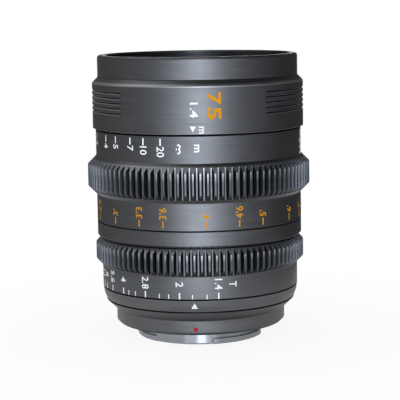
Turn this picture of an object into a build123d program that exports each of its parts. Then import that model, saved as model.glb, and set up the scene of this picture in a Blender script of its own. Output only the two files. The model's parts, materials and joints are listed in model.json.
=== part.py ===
from build123d import *
import os
from math import atan2, cos, degrees, hypot, pi, radians, sin, sqrt, tan

# Cinema prime lens with a geared focus ring, a geared iris ring and a three-lug bayonet.
# The optical axis is Z and the front of the lens points to +Z. The index marks are on the -Y
# side. The origin is the middle of the rear end of the bayonet. Lengths are in millimetres and
# angles in degrees. An azimuth is counted from the index side, counter-clockwise seen from the
# front. The pieces are drawn at the ring positions of the photograph: focus just past infinity,
# iris between its widest stop and the next.

os.makedirs("parts", exist_ok=True)

index_side = -90

# Fits between pieces
turning_gap = 0.10
fixed_gap = 0.03
washer_gap = 0.05
cement_gap = 0.02
pin_gap = 0.08
cut_over = 1.0

# Gears for a follow-focus motor
gear_module_size = 0.8
flank_angle = 20
addendum_modules = 1.0
dedendum_modules = 1.25

# Bayonet
bayonet_height = 4.9
bayonet_bore = 20.5
neck_wall = 1.4
stiffener_step = 0.7
lug_step = 1.05
lug_height = 1.9
lug_span = 60
lug_starts = (13.6, -102, 135)
wall_start = -42
wall_end = 12.4
bayonet_chamfer = 0.5
plate_width = 7.0
plate_rim = 1.66
plate_height = 1.6
spigot_height = 2.0
spigot_step = 0.97
lock_hole_radius = 1.3
lock_hole_azimuth = 97

# Screws of the bayonet, countersunk, and of the barrel, with cylinder heads
mount_screw_count = 4
mount_screw_first = 45
mount_screw_head = 1.75
mount_screw_shank = 0.95
mount_screw_length = 5.6
barrel_screw_count = 6
barrel_screw_inset = 1.6
barrel_screw_head = 1.7
barrel_screw_head_height = 1.6
barrel_screw_shank = 0.95
socket_share = 0.5
socket_depth_share = 0.6
screw_end_gap = 0.15

# Mount base
base_recess = 0.1
base_chamfer = 1.0
base_straight = 4.1
cone_height = 3.5

# Seams between the outer rings
base_seam = 0.5
base_seam_depth = 1.0
iris_seam = 0.5
focus_rear_seam = 0.45
focus_front_seam = 0.75
washer_inset = 0.7

# Iris index ring
index_ring_height = 4.1
index_ring_step = 0.07
index_ring_taper = 1.1
index_ring_floor = 1.4
index_bulge_share = 0.72
foot_margin = 2.1
foot_height = 2.0

# Iris ring
iris_teeth = 92
iris_gear_step = 2.23
iris_rim_step = 1.85
iris_wall = 1.37
iris_scale_length = 7.8
iris_tooth_length = 5.5
iris_rim_length = 0.12
tube_wall = 1.0

# Middle barrel, between the two geared rings
middle_length = 5.5
middle_chamfer = 0.7
land_length = 4.5

# Focus ring
focus_teeth = 98
focus_gear_step = 3.1
focus_wall = 2.0
feet_scale_length = 9.4
focus_tooth_length = 7.5
metre_scale_length = 9.25
cam_screw_azimuths = (92, 176, 242)
cam_screw_radius = 1.0
cam_screw_sink = 0.5
cam_screw_from_top = 2.6

# Front barrel
front_barrel_length = 16.1
front_barrel_chamfer = 2.0
front_lip = 0.87
web_from_top = 11.4
web_height = 2.0
web_ledge = 2.8
grip_count = 5
grip_spacing = 1.8
grip_width = 0.9
grip_depth = 0.35
grip_first = 5.8
grip_pad = 81.4

# Front rim with the filter thread
thread_bore = 33.1
rim_wall = 2.77
rim_length = 7.75
rim_round = 1.5
thread_length = 5.3
thread_chamfer = 0.4
relief_depth = 0.6

# Focusing helicoid: cam sleeve outside, straight guide inside, focus cell innermost
cam_wall = 1.37
cam_end_gap = 0.12
guide_wall = 1.5
helix_lead = 10.8
focus_turn = 280
follower_count = 3
follower_radius = 1.0
follower_first = 60
follower_seat = 1.6
focus_cell_length = 22.5
focus_cell_end_gap = 1.1

# Iris: ten blades, each with a pivot pin in the housing and a drive pin in the cam ring
blade_count = 10
blade_swing = 30
ring_to_open = 13.9
ring_to_closed = 81.0
blade_width = 8.7
blade_to_pivot = 4.0
blade_thickness = 0.15
blade_pitch = 0.25
blade_start = 2
blade_end = 136
blade_pin_radius = 0.5
pivot_inset = 3.7
pivot_bar_width = 3.0
drive_bar_width = 2.2
drive_lever = 10.0
drive_inset = 2.8
slot_steps = 12
slot_overrun_share = 0.008
iris_floor = 0.9
iris_side_wall = 2.0
stack_gap = 0.1
cam_ring_height = 0.8
cam_ring_inner_wall = 1.5
cam_rim_wall = 1.6
cam_rim_height = 2.2
drive_pin_radius = 0.75
drive_pin_bite = 1.1
drive_pin_azimuth = 150
iris_lock_height = 1.3
iris_lock_wall = 3.8

# Rear lens group, stacked in one bore from the rear
rear_cell_rear = 2.0
rear_cell_wall = 1.95
rear_cell_flange = 2.0
rear_lip = 1.6
rear_lip_height = 2.3
rear_top_ring = 1.6
baffle_thickness = 1.2
baffle_window_shares = (1.51, 1.12)
baffle_corner_share = 0.2
rear_third_edge = 3.5
rear_spacer_height = 3.6
rear_second_edge = 3.6
rear_gap_height = 3.2
rear_first_edge = 4.6
spacer_wall = 1.2

# Focus lens group
focus_cell_wall = 4.77
focus_lens_ledge = 1.5
focus_ledge_height = 1.6
focus_front_edge = 5.0
focus_rear_edge = 4.0
focus_lower_step = 2.0
focus_stack_from_bottom = 8.4
ring_height = 1.4
ring_wall = 1.6

# Front lens group
front_cell_wall = 2.34
front_cell_flange = 2.5
front_cell_below_web = 3.5
front_cell_lip = 3.1
front_lens_edge = 6.0
front_ledge = 1.2
front_ledge_height = 1.2
second_lens_step = 2.0
second_lens_edge = 4.6
beauty_overlap = 1.0
beauty_gap = 0.15
beauty_slope = 3.0
beauty_lip = 1.0

# Bulges of the lens faces, outwards positive, for the rear face and the front face
front_lens_bulges = (-1.5, 4.4)
second_lens_bulges = (-1.6, 1.9)
focus_front_bulges = (2.4, 3.0)
focus_rear_bulges = (-0.9, -2.4)
rear_first_bulges = (1.2, 1.5)
rear_second_bulges = (-1.0, -1.2)
rear_third_bulges = (0.9, 1.4)

# Radii that follow from the gears, from outside to inside
addendum = gear_module_size * addendum_modules
tooth_depth = gear_module_size * (addendum_modules + dedendum_modules)
focus_tip = gear_module_size * focus_teeth / 2 + addendum
focus_barrel = focus_tip - focus_gear_step
focus_bore = focus_barrel - focus_wall
land_radius = focus_bore - turning_gap
cam_outer = focus_bore - fixed_gap
cam_inner = cam_outer - cam_wall
guide_outer = cam_inner - turning_gap
guide_inner = guide_outer - guide_wall
focus_cell_outer = guide_inner - turning_gap
guide_seat = guide_outer + fixed_gap
iris_tip = gear_module_size * iris_teeth / 2 + addendum
iris_barrel = iris_tip - iris_gear_step
iris_bore = iris_barrel - iris_wall
tube_outer = iris_bore - turning_gap
tube_bore = tube_outer - tube_wall
tube_seat = tube_outer + fixed_gap
inner_fit = tube_bore - fixed_gap
cam_ring_outer = tube_bore - turning_gap
middle_radius = focus_barrel
neck_radius = bayonet_bore + neck_wall
stiffener_radius = neck_radius + stiffener_step
lug_radius = neck_radius + lug_step
spigot_radius = neck_radius + spigot_step
plate_radius = neck_radius + plate_width
base_radius = plate_radius + plate_rim
mount_screw_circle = (spigot_radius + plate_radius) / 2
barrel_screw_circle = plate_radius - barrel_screw_inset
foot_bore = barrel_screw_circle - foot_margin
index_ring_radius = iris_barrel - index_ring_step
cone_radius = index_ring_radius - index_ring_taper
rim_radius = thread_bore + rim_wall
front_bore = rim_radius - front_lip
front_barrel_radius = rim_radius + front_barrel_chamfer
web_bore = guide_outer - web_ledge
pivot_circle = tube_bore - pivot_inset
blade_outer = pivot_circle - blade_to_pivot
blade_opening = blade_outer - blade_width
drive_open_radius = pivot_circle - drive_inset
cam_ring_bore = drive_open_radius - cam_ring_inner_wall

# Heights that follow from the stack of outer rings, from the rear to the front
flange_face = bayonet_height
base_rear = bayonet_height + base_recess
plate_top = bayonet_height + plate_height
cone_start = base_rear + base_chamfer + base_straight
base_top = cone_start + cone_height
index_bottom = base_top + base_seam
index_top = index_bottom + index_ring_height
floor_top = base_top + index_ring_floor
foot_top = floor_top + foot_height
iris_bottom = index_top + iris_seam
iris_chamfer_start = iris_bottom + iris_scale_length
iris_tooth_start = iris_chamfer_start + iris_gear_step
iris_tooth_end = iris_tooth_start + iris_tooth_length
iris_rim_start = iris_tooth_end + iris_rim_step
iris_top = iris_rim_start + iris_rim_length
middle_bottom = iris_top + iris_seam
middle_top = middle_bottom + middle_length
focus_bottom = middle_top + focus_rear_seam
focus_chamfer_start = focus_bottom + feet_scale_length
focus_tooth_start = focus_chamfer_start + focus_gear_step
focus_tooth_end = focus_tooth_start + focus_tooth_length
metre_scale_start = focus_tooth_end + focus_gear_step
focus_top = metre_scale_start + metre_scale_length
front_bottom = focus_top + focus_front_seam
front_chamfer_start = front_bottom + front_barrel_length
rim_bottom = front_chamfer_start + front_barrel_chamfer
lens_front = rim_bottom + rim_length

# Heights of the focusing parts
rear_land_top = middle_top + land_length
front_land_bottom = front_bottom - focus_front_seam - land_length
cam_bottom = rear_land_top + cam_end_gap
cam_top = front_land_bottom - cam_end_gap
focus_travel = helix_lead * focus_turn / 360
web_top = rim_bottom - web_from_top
web_bottom = web_top - web_height
front_cell_bottom = web_bottom - front_cell_below_web
focus_cell_bottom = front_cell_bottom - focus_cell_end_gap - focus_travel - focus_cell_length
follower_height = (cam_bottom + cam_top - focus_travel) / 2

# Heights of the iris
drive_pin_height = iris_tooth_end
cam_rim_top = drive_pin_height + cam_rim_height / 2
cam_ring_top = drive_pin_height - cam_rim_height / 2
cam_ring_bottom = cam_ring_top - cam_ring_height
blade_bottom = cam_ring_bottom - stack_gap - blade_pitch * blade_count
iris_floor_top = blade_bottom - stack_gap
iris_floor_bottom = iris_floor_top - iris_floor
iris_lock_bottom = cam_rim_top + washer_gap
blade_ratio = blade_swing / (ring_to_open + ring_to_closed)


def polar(radius, angle):
    """Point at a radius and an angle from +X."""
    return (radius * cos(radians(angle)), radius * sin(radians(angle)))


def turned(*outline, arc=360):
    """Ring turned about the optical axis from (radius, height) points."""
    return revolve(Plane.XZ * make_face(Polyline(*outline, close=True)), Axis.Z, arc)


def ring(inner, outer, bottom, top, arc=360):
    """Plain ring, or a sector of one, between two radii and two heights."""
    return turned((inner, bottom), (outer, bottom), (outer, top), (inner, top), arc=arc)


def sector(inner, outer, bottom, top, start, end):
    """Part of a ring between two azimuths from the index side."""
    return Rot(0, 0, index_side + start) * ring(inner, outer, bottom, top, arc=end - start)


def post(radius, bottom, top, circle, azimuth):
    """Cylinder along the optical axis, on a circle."""
    x, y = polar(circle, index_side + azimuth)
    rod = Cylinder(radius, top - bottom, align=(Align.CENTER, Align.CENTER, Align.MIN))
    return Pos(x, y, bottom) * rod


def radial_rod(radius, inner, outer, height, azimuth):
    """Cylinder that points away from the optical axis."""
    rod = Cylinder(radius, outer - inner, align=(Align.CENTER, Align.CENTER, Align.MIN))
    return Rot(0, 0, index_side + azimuth) * Pos(inner, 0, height) * Rot(0, 90, 0) * rod


def hexagon(radius, depth):
    """Socket for a hexagon key, opening at height zero."""
    return Pos(0, 0, -depth) * extrude(RegularPolygon(radius, 6), amount=depth + cut_over)


def save(name, shape):
    """Write one piece, named as a person would name it."""
    export_step(shape, f"parts/{name}.step")


# Teeth

def toothed_bar(teeth, bottom, top):
    """Straight-flanked gear bar, later turned down to the ring's outline."""
    tip = gear_module_size * teeth / 2 + addendum
    root = tip - tooth_depth
    pitch_half = pi * gear_module_size / 4
    tip_half = pitch_half - addendum * tan(radians(flank_angle))
    root_half = pitch_half + (tooth_depth - addendum) * tan(radians(flank_angle))
    corners = ((root, -root_half), (tip, -tip_half), (tip, tip_half), (root, root_half))
    outline = []
    for tooth in range(teeth):
        for radius, half in corners:
            outline.append(polar(radius, index_side + 360 / teeth * tooth + degrees(half / radius)))
    return Pos(0, 0, bottom) * extrude(make_face(Polyline(*outline, close=True)), amount=top - bottom)


# Lens elements

def seat(radius, bulge, ring_bore):
    """Height from a lens's edge to a ring that rests on its face at the ring's bore."""
    if bulge <= 0:
        return fixed_gap
    ball = (radius**2 + bulge**2) / (2 * bulge)
    return sqrt(ball**2 - ring_bore**2) - sqrt(ball**2 - radius**2) + fixed_gap


def lens(radius, bottom, top, bulges):
    """Lens element with spherical faces, its edge between two heights."""
    rear, front = bulges
    rear_face = TangentArc((0, bottom - rear), (radius, bottom), tangent=(1, 0))
    edge = Line((radius, bottom), (radius, top))
    front_face = TangentArc((0, top + front), (radius, top), tangent=(1, 0))
    axis = Line((0, top + front), (0, bottom - rear))
    outline = make_face(Curve() + [rear_face, edge, front_face, axis])
    return revolve(Plane.XZ * outline, Axis.Z)


# Bayonet and mount base

def bayonet():
    """Tube with three lugs, a stiffer wall between two of them, and the flange plate."""
    top = plate_top + spigot_height
    body = turned((bayonet_bore, 0), (neck_radius - bayonet_chamfer, 0), (neck_radius, bayonet_chamfer),
                  (neck_radius, flange_face), (plate_radius, flange_face), (plate_radius, plate_top),
                  (spigot_radius, plate_top), (spigot_radius, top), (bayonet_bore, top))
    tube_middle = (bayonet_bore + neck_radius) / 2
    for start in lug_starts:
        lug = turned((tube_middle, 0), (lug_radius - bayonet_chamfer, 0), (lug_radius, bayonet_chamfer),
                     (lug_radius, lug_height), (tube_middle, lug_height), arc=lug_span)
        body += Rot(0, 0, index_side + start) * lug
    wall = turned((tube_middle, 0), (stiffener_radius - bayonet_chamfer, 0),
                  (stiffener_radius, bayonet_chamfer), (stiffener_radius, flange_face),
                  (tube_middle, flange_face), arc=wall_end - wall_start)
    body += Rot(0, 0, index_side + wall_start) * wall
    body -= post(lock_hole_radius, flange_face - cut_over, plate_top + cut_over,
                 mount_screw_circle, lock_hole_azimuth)
    for azimuth in mount_screw_azimuths():
        body -= mount_screw(azimuth, fixed_gap)
    return body


def mount_screw_azimuths():
    return [mount_screw_first + 360 / mount_screw_count * step for step in range(mount_screw_count)]


def barrel_screw_azimuths():
    return [360 / barrel_screw_count * step for step in range(barrel_screw_count)]


def mount_screw(azimuth, grow=0):
    """Countersunk screw, its flat head flush with the flange face, or its hole when grown."""
    head = mount_screw_head + grow
    shank = mount_screw_shank + grow
    sink = head - shank
    tip = flange_face + mount_screw_length + grow
    body = turned((0, flange_face), (head, flange_face), (shank, flange_face + sink), (shank, tip), (0, tip))
    if not grow:
        socket = hexagon(mount_screw_head * socket_share, sink * socket_depth_share)
        body -= Pos(0, 0, flange_face) * Rot(180, 0, 0) * socket
    x, y = polar(mount_screw_circle, index_side + azimuth)
    return Pos(x, y, 0) * body


def barrel_screw(azimuth, grow=0):
    """Cap screw that clamps the base, the index ring and the tube's foot, or its hole when grown."""
    head_top = plate_top + barrel_screw_head_height
    start = plate_top - cut_over if grow else plate_top
    tip = foot_top if grow else foot_top - screw_end_gap
    body = post(barrel_screw_head + grow, start, head_top, barrel_screw_circle, azimuth)
    body += post(barrel_screw_shank + grow, start, tip, barrel_screw_circle, azimuth)
    if not grow:
        x, y = polar(barrel_screw_circle, index_side + azimuth)
        socket = hexagon(barrel_screw_head * socket_share, barrel_screw_head_height * socket_depth_share)
        body -= Pos(x, y, plate_top) * Rot(180, 0, 0) * socket
    return body


def mount_base():
    """Tapered ring that carries the bayonet, with a recess for its flange plate."""
    recess = plate_radius + fixed_gap
    edge = base_radius - base_chamfer
    body = turned((recess, base_rear), (edge, base_rear), (base_radius, base_rear + base_chamfer),
                  (base_radius, cone_start), (cone_radius, base_top), (spigot_radius + fixed_gap, base_top),
                  (spigot_radius + fixed_gap, plate_top), (recess, plate_top))
    for azimuth in mount_screw_azimuths():
        body -= mount_screw(azimuth, fixed_gap)
    for azimuth in barrel_screw_azimuths():
        body -= barrel_screw(azimuth, fixed_gap)
    return body


# Fixed barrels

def index_ring():
    """Rear ring with the iris index, with a floor that the barrel screws pass through."""
    seam_radius = cone_radius - base_seam_depth
    bulge_radius = cone_radius + index_ring_taper * index_bulge_share
    body = turned((foot_bore, base_top), (seam_radius, base_top), (seam_radius, index_bottom),
                  (cone_radius, index_bottom), (bulge_radius, (index_bottom + index_top) / 2),
                  (index_ring_radius, index_top),
                  (tube_seat, index_top), (tube_seat, floor_top), (foot_bore, floor_top))
    for azimuth in barrel_screw_azimuths():
        body -= barrel_screw(azimuth, fixed_gap)
    return body


def rear_tube():
    """Fixed tube that the iris ring turns on, with a slot for the ring's drive pin."""
    body = turned((foot_bore, floor_top), (tube_outer, floor_top), (tube_outer, middle_top),
                  (tube_bore, middle_top), (tube_bore, foot_top), (foot_bore, foot_top))
    for azimuth in barrel_screw_azimuths():
        body -= barrel_screw(azimuth, fixed_gap)
    half = drive_pin_radius + pin_gap
    inner = tube_bore - cut_over
    outer = tube_outer + cut_over
    start = drive_pin_azimuth - ring_to_open
    end = drive_pin_azimuth + ring_to_closed
    body -= sector(inner, outer, drive_pin_height - half, drive_pin_height + half, start, end)
    for azimuth in (start, end):
        body -= radial_rod(half, inner, outer, drive_pin_height, azimuth)
    return body


def middle_barrel():
    """Fixed ring between the geared rings, with a bearing land for the focus ring."""
    lower = middle_radius - middle_chamfer
    body = turned((tube_seat, middle_bottom), (lower, middle_bottom),
                  (middle_radius, middle_bottom + middle_chamfer), (middle_radius, middle_top),
                  (land_radius, middle_top), (land_radius, rear_land_top), (guide_seat, rear_land_top),
                  (guide_seat, middle_top), (tube_seat, middle_top))
    return body


def front_barrel():
    """Fixed front barrel with grip grooves all round but for the pad at the index.

    Its round faces have their seam on the pad, where no groove crosses it."""
    body = turned((guide_seat, front_land_bottom), (land_radius, front_land_bottom),
                  (land_radius, front_bottom), (front_barrel_radius, front_bottom),
                  (front_barrel_radius, front_chamfer_start), (rim_radius, rim_bottom),
                  (front_bore, rim_bottom), (front_bore, web_top), (web_bore, web_top),
                  (web_bore, web_bottom), (guide_seat, web_bottom))
    body = Rot(0, 0, index_side) * body
    for groove in range(grip_count):
        bottom = front_bottom + grip_first + grip_spacing * groove
        body -= sector(front_barrel_radius - grip_depth, front_barrel_radius + cut_over,
                       bottom, bottom + grip_width, grip_pad / 2, 360 - grip_pad / 2)
    return body


def front_rim():
    """Front ring with the filter thread's bore and a spigot that locks the front cell."""
    relief = thread_bore + relief_depth
    thread_bottom = lens_front - thread_length
    spigot = front_bore - fixed_gap
    spigot_bottom = web_top + front_cell_flange
    body = turned((relief, spigot_bottom), (spigot, spigot_bottom),
                  (spigot, rim_bottom), (rim_radius, rim_bottom), (rim_radius, lens_front - rim_round),
                  (rim_radius - rim_round, lens_front), (thread_bore + thread_chamfer, lens_front),
                  (thread_bore, lens_front - thread_chamfer), (thread_bore, thread_bottom),
                  (relief, thread_bottom))
    return body


def guide_sleeve():
    """Fixed sleeve whose straight slots keep the focus cell from turning."""
    body = ring(guide_inner, guide_outer, middle_top, web_bottom)
    width = (follower_radius + pin_gap) * 2
    middle = follower_height + focus_travel / 2
    slot = extrude(SlotCenterToCenter(focus_travel, width), amount=guide_wall + cut_over * 2)
    for azimuth in follower_azimuths():
        place = Rot(0, 0, index_side + azimuth) * Pos(guide_inner - cut_over, 0, middle) * Rot(0, 90, 0)
        body -= place * slot
    return body


def follower_azimuths():
    return [follower_first + 360 / follower_count * step for step in range(follower_count)]


# Rotating focus parts

def focus_ring():
    """Geared focus ring with a scale barrel each side of the teeth."""
    outline = turned((focus_bore, focus_bottom), (focus_barrel, focus_bottom),
                     (focus_barrel, focus_chamfer_start), (focus_tip, focus_tooth_start),
                     (focus_tip, focus_tooth_end), (focus_barrel, metre_scale_start),
                     (focus_barrel, focus_top), (focus_bore, focus_top))
    body = outline & toothed_bar(focus_teeth, focus_bottom - cut_over, focus_top + cut_over)
    for azimuth in cam_screw_azimuths:
        body -= cam_screw_hole(azimuth)
    return body


def cam_screw_hole(azimuth):
    return radial_rod(cam_screw_radius + fixed_gap, cam_inner - cut_over, focus_tip,
                      cam_screw_height(), azimuth)


def cam_screw_height():
    """The grub screws bite near the top of the cam sleeve."""
    return cam_top - cam_screw_from_top


def cam_screws():
    """Grub screws that lock the cam sleeve in the focus ring."""
    inner = cam_inner + fixed_gap
    outer = focus_barrel - cam_screw_sink
    depth = (outer - inner) * socket_share
    screws = []
    for azimuth in cam_screw_azimuths:
        body = radial_rod(cam_screw_radius, inner, outer, cam_screw_height(), azimuth)
        socket = hexagon(cam_screw_radius * socket_share, depth)
        place = Rot(0, 0, index_side + azimuth) * Pos(outer, 0, cam_screw_height()) * Rot(0, 90, 0)
        screws.append(body - place * socket)
    return Compound(screws)


def cam_sleeve():
    """Sleeve with three helical slots that lift the focus cell as the focus ring turns."""
    body = ring(cam_inner, cam_outer, cam_bottom, cam_top)
    wall_middle = (cam_inner + cam_outer) / 2
    width = (follower_radius + pin_gap) * 2
    path = Helix(helix_lead, focus_travel, wall_middle, lefthand=True)
    profile = Pos(wall_middle, 0, 0) * Plane.XZ * Rectangle(cam_wall + cut_over * 2, width)
    slot = sweep(profile, path=path, is_frenet=True)
    for azimuth in follower_azimuths():
        body -= Rot(0, 0, index_side + azimuth) * Pos(0, 0, follower_height) * slot
        for turned_by, height in ((0, follower_height), (-focus_turn, follower_height + focus_travel)):
            body -= radial_rod(width / 2, cam_inner - cut_over, cam_outer + cut_over, height,
                               azimuth + turned_by)
    for azimuth in cam_screw_azimuths:
        body -= cam_screw_hole(azimuth)
    return body


# Sliding focus cell

focus_stack_bottom = focus_cell_bottom + focus_stack_from_bottom
focus_bore_in_cell = focus_cell_outer - focus_cell_wall
focus_lens_radius = focus_bore_in_cell - fixed_gap
focus_lower_bore = focus_lens_radius - focus_lens_ledge - focus_lower_step


def focus_cell():
    """Cell of the moving group, carried by three followers."""
    top = focus_cell_bottom + focus_cell_length
    ledge = focus_lens_radius - focus_lens_ledge
    ledge_bottom = focus_stack_bottom - focus_ledge_height
    body = turned((focus_lower_bore, focus_cell_bottom), (focus_cell_outer, focus_cell_bottom),
                  (focus_cell_outer, top), (focus_bore_in_cell, top),
                  (focus_bore_in_cell, focus_stack_bottom), (ledge, focus_stack_bottom),
                  (ledge, ledge_bottom), (focus_lower_bore, ledge_bottom))
    for azimuth in follower_azimuths():
        body -= radial_rod(follower_radius + fixed_gap, focus_cell_outer - follower_seat,
                           focus_cell_outer + cut_over, follower_height, azimuth)
    return body


def follower_pins():
    """Pins of the focus cell that run in the straight and the helical slots."""
    inner = focus_cell_outer - follower_seat
    outer = cam_outer - pin_gap * 2
    return Compound([radial_rod(follower_radius, inner, outer, follower_height, azimuth)
                     for azimuth in follower_azimuths()])


def focus_lenses():
    """Cemented pair, the rear element on the cell's ledge, and the ring that holds it."""
    rear_bottom = focus_stack_bottom + seat(focus_lens_radius, focus_rear_bulges[0],
                                            focus_lens_radius - focus_lens_ledge)
    rear_top = rear_bottom + focus_rear_edge
    front_bottom_edge = rear_top + cement_gap
    front_top = front_bottom_edge + focus_front_edge
    rear = lens(focus_lens_radius, rear_bottom, rear_top, focus_rear_bulges)
    front = lens(focus_lens_radius, front_bottom_edge, front_top, focus_front_bulges)
    lock_bore = focus_lens_radius - ring_wall
    lock_bottom = front_top + seat(focus_lens_radius, focus_front_bulges[1], lock_bore)
    lock = ring(lock_bore, focus_lens_radius, lock_bottom, lock_bottom + ring_height)
    return front, rear, lock


# Iris

def iris_ring():
    """Geared iris ring with its scale barrel below the teeth."""
    rim = iris_tip - iris_rim_step
    outline = turned((iris_bore, iris_bottom), (iris_barrel, iris_bottom),
                     (iris_barrel, iris_chamfer_start), (iris_tip, iris_tooth_start),
                     (iris_tip, iris_tooth_end), (rim, iris_rim_start), (rim, iris_top),
                     (iris_bore, iris_top))
    body = outline & toothed_bar(iris_teeth, iris_bottom - cut_over, iris_top + cut_over)
    body -= radial_rod(drive_pin_radius + fixed_gap, iris_bore - cut_over,
                       iris_bore + drive_pin_bite + fixed_gap, drive_pin_height, drive_pin_azimuth)
    return body


def iris_drive_pin():
    """Pin that joins the iris ring to the cam ring through the slot in the rear tube."""
    inner = cam_ring_outer - cam_rim_wall
    return radial_rod(drive_pin_radius, inner, iris_bore + drive_pin_bite, drive_pin_height,
                      drive_pin_azimuth)


def iris_housing():
    """Cup with the fixed aperture and the holes for the blades' pivots."""
    wall = inner_fit - iris_side_wall
    foot = foot_top + rear_cell_flange
    body = turned((blade_opening, iris_floor_bottom), (wall, iris_floor_bottom), (wall, foot),
                  (inner_fit, foot), (inner_fit, iris_floor_top), (blade_opening, iris_floor_top))
    for azimuth in blade_azimuths():
        body -= post(blade_pin_radius + pin_gap, iris_floor_bottom - cut_over,
                     iris_floor_top + cut_over, pivot_circle, azimuth)
    return body


def blade_azimuths():
    return [360 / blade_count * blade for blade in range(blade_count)]


def drive_point(swing):
    """Drive pin's place at a blade swing from wide open, with the pivot on +X."""
    cosine = (pivot_circle**2 + drive_open_radius**2 - drive_lever**2)
    cosine /= 2 * pivot_circle * drive_open_radius
    x = drive_open_radius * cosine - pivot_circle
    y = -drive_open_radius * sqrt(1 - cosine**2)
    turn = radians(swing)
    return (pivot_circle + x * cos(turn) - y * sin(turn), x * sin(turn) + y * cos(turn))


def bar(start, end, width):
    """Flat bar with round ends between two points."""
    run = (end[0] - start[0], end[1] - start[1])
    middle = ((start[0] + end[0]) / 2, (start[1] + end[1]) / 2)
    shape = SlotCenterToCenter(hypot(*run), width)
    return Pos(*middle) * Rot(0, 0, degrees(atan2(run[1], run[0]))) * shape


def blade_outline():
    """Blade wide open, with its pivot on +X: a curved band, a pivot bar and a drive bar."""
    reach = blade_outer * 2
    halfway = (blade_start + blade_end) / 2
    wedge = make_face(Polyline((0, 0), polar(reach, blade_start), polar(reach, halfway),
                               polar(reach, blade_end), close=True))
    band = (Circle(blade_outer) - Circle(blade_opening)) & wedge
    band_middle = blade_opening + blade_width / 2
    cap = Pos(*polar(band_middle, blade_end)) * Circle(blade_width / 2)
    pivot = (pivot_circle, 0)
    root = polar(band_middle, blade_start + degrees(pivot_bar_width / band_middle))
    arm = bar(pivot, root, pivot_bar_width)
    lever = bar(pivot, drive_point(0), drive_bar_width)
    return band + cap + arm + lever


def swung(shape, swing):
    """A blade's shape turned about its pivot on +X."""
    return Pos(pivot_circle, 0, 0) * Rot(0, 0, swing) * Pos(-pivot_circle, 0, 0) * shape


def iris_blade(number, outline):
    """One blade on its own level, with its pivot pin below and its drive pin above."""
    bottom = blade_bottom + blade_pitch * number
    top = bottom + blade_thickness
    body = Pos(0, 0, bottom) * extrude(outline, amount=blade_thickness)
    up = (Align.CENTER, Align.CENTER, Align.MIN)
    pivot_low = iris_floor_bottom + stack_gap
    body += Pos(pivot_circle, 0, pivot_low) * Cylinder(blade_pin_radius, top - pivot_low, align=up)
    x, y = drive_point(0)
    body += Pos(x, y, bottom) * Cylinder(blade_pin_radius, cam_ring_top - bottom - washer_gap, align=up)
    azimuth = index_side + blade_azimuths()[number]
    return Rot(0, 0, azimuth) * swung(body, ring_to_open * blade_ratio)


def cam_slot():
    """Spiral slot that a blade's drive pin follows, in the cam ring's own frame at rest."""
    half = blade_pin_radius + pin_gap
    centres = []
    for step in range(slot_steps + 1):
        share = -slot_overrun_share + (1 + 2 * slot_overrun_share) * step / slot_steps
        x, y = drive_point(blade_swing * share)
        turn = ring_to_open - (ring_to_open + ring_to_closed) * share
        centres.append(polar(hypot(x, y), degrees(atan2(y, x)) + turn))
    inner, outer, along = [], [], []
    for step in range(slot_steps + 1):
        before = centres[max(step - 1, 0)]
        after = centres[min(step + 1, slot_steps)]
        run = (after[0] - before[0], after[1] - before[1])
        size = hypot(*run)
        along.append((run[0] / size, run[1] / size))
        x, y = centres[step]
        inner.append((x - half * run[1] / size, y + half * run[0] / size))
        outer.append((x + half * run[1] / size, y - half * run[0] / size))
    first = (centres[0][0] - half * along[0][0], centres[0][1] - half * along[0][1])
    last = (centres[-1][0] + half * along[-1][0], centres[-1][1] + half * along[-1][1])
    sides = Curve() + [Spline(*inner), ThreePointArc(inner[-1], last, outer[-1]),
                       Spline(*reversed(outer)), ThreePointArc(outer[0], first, inner[0])]
    return make_face(sides)


def iris_cam_ring():
    """Ring with one spiral slot for each blade and a rim that the drive pin turns."""
    rim_inner = cam_ring_outer - cam_rim_wall
    plate = ring(cam_ring_bore, cam_ring_outer, cam_ring_bottom, cam_ring_top)
    depth = cam_ring_height + cut_over * 2
    slot = Pos(0, 0, cam_ring_bottom - cut_over) * extrude(cam_slot(), amount=depth)
    for azimuth in blade_azimuths():
        plate -= Rot(0, 0, index_side + azimuth) * slot
    rim = ring(rim_inner, cam_ring_outer, cam_ring_top, cam_rim_top)
    rim -= radial_rod(drive_pin_radius + fixed_gap, rim_inner - cut_over, cam_ring_outer + cut_over,
                      drive_pin_height, drive_pin_azimuth)
    return plate + rim


# Rear lens group

rear_cell_outer = bayonet_bore - fixed_gap
rear_bore = rear_cell_outer - rear_cell_wall
rear_lens_radius = rear_bore - fixed_gap
rear_ring_bore = rear_lens_radius - spacer_wall
rear_lip_top = rear_cell_rear + rear_lip_height
rear_third_bottom = rear_lip_top + seat(rear_lens_radius, rear_third_bulges[0], rear_bore - rear_lip)
rear_third_top = rear_third_bottom + rear_third_edge
back_spacer_bottom = rear_third_top + seat(rear_lens_radius, rear_third_bulges[1], rear_ring_bore)
back_spacer_top = back_spacer_bottom + rear_spacer_height
rear_second_bottom = back_spacer_top + seat(rear_lens_radius, rear_second_bulges[0], rear_ring_bore)
rear_second_top = rear_second_bottom + rear_second_edge
front_spacer_bottom = rear_second_top + seat(rear_lens_radius, rear_second_bulges[1], rear_ring_bore)
front_spacer_top = front_spacer_bottom + rear_gap_height
rear_first_bottom = front_spacer_top + seat(rear_lens_radius, rear_first_bulges[0], rear_ring_bore)
rear_first_top = rear_first_bottom + rear_first_edge
rear_lock_bottom = rear_first_top + seat(rear_lens_radius, rear_first_bulges[1], rear_ring_bore)
rear_cell_top = rear_lock_bottom + rear_top_ring


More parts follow.
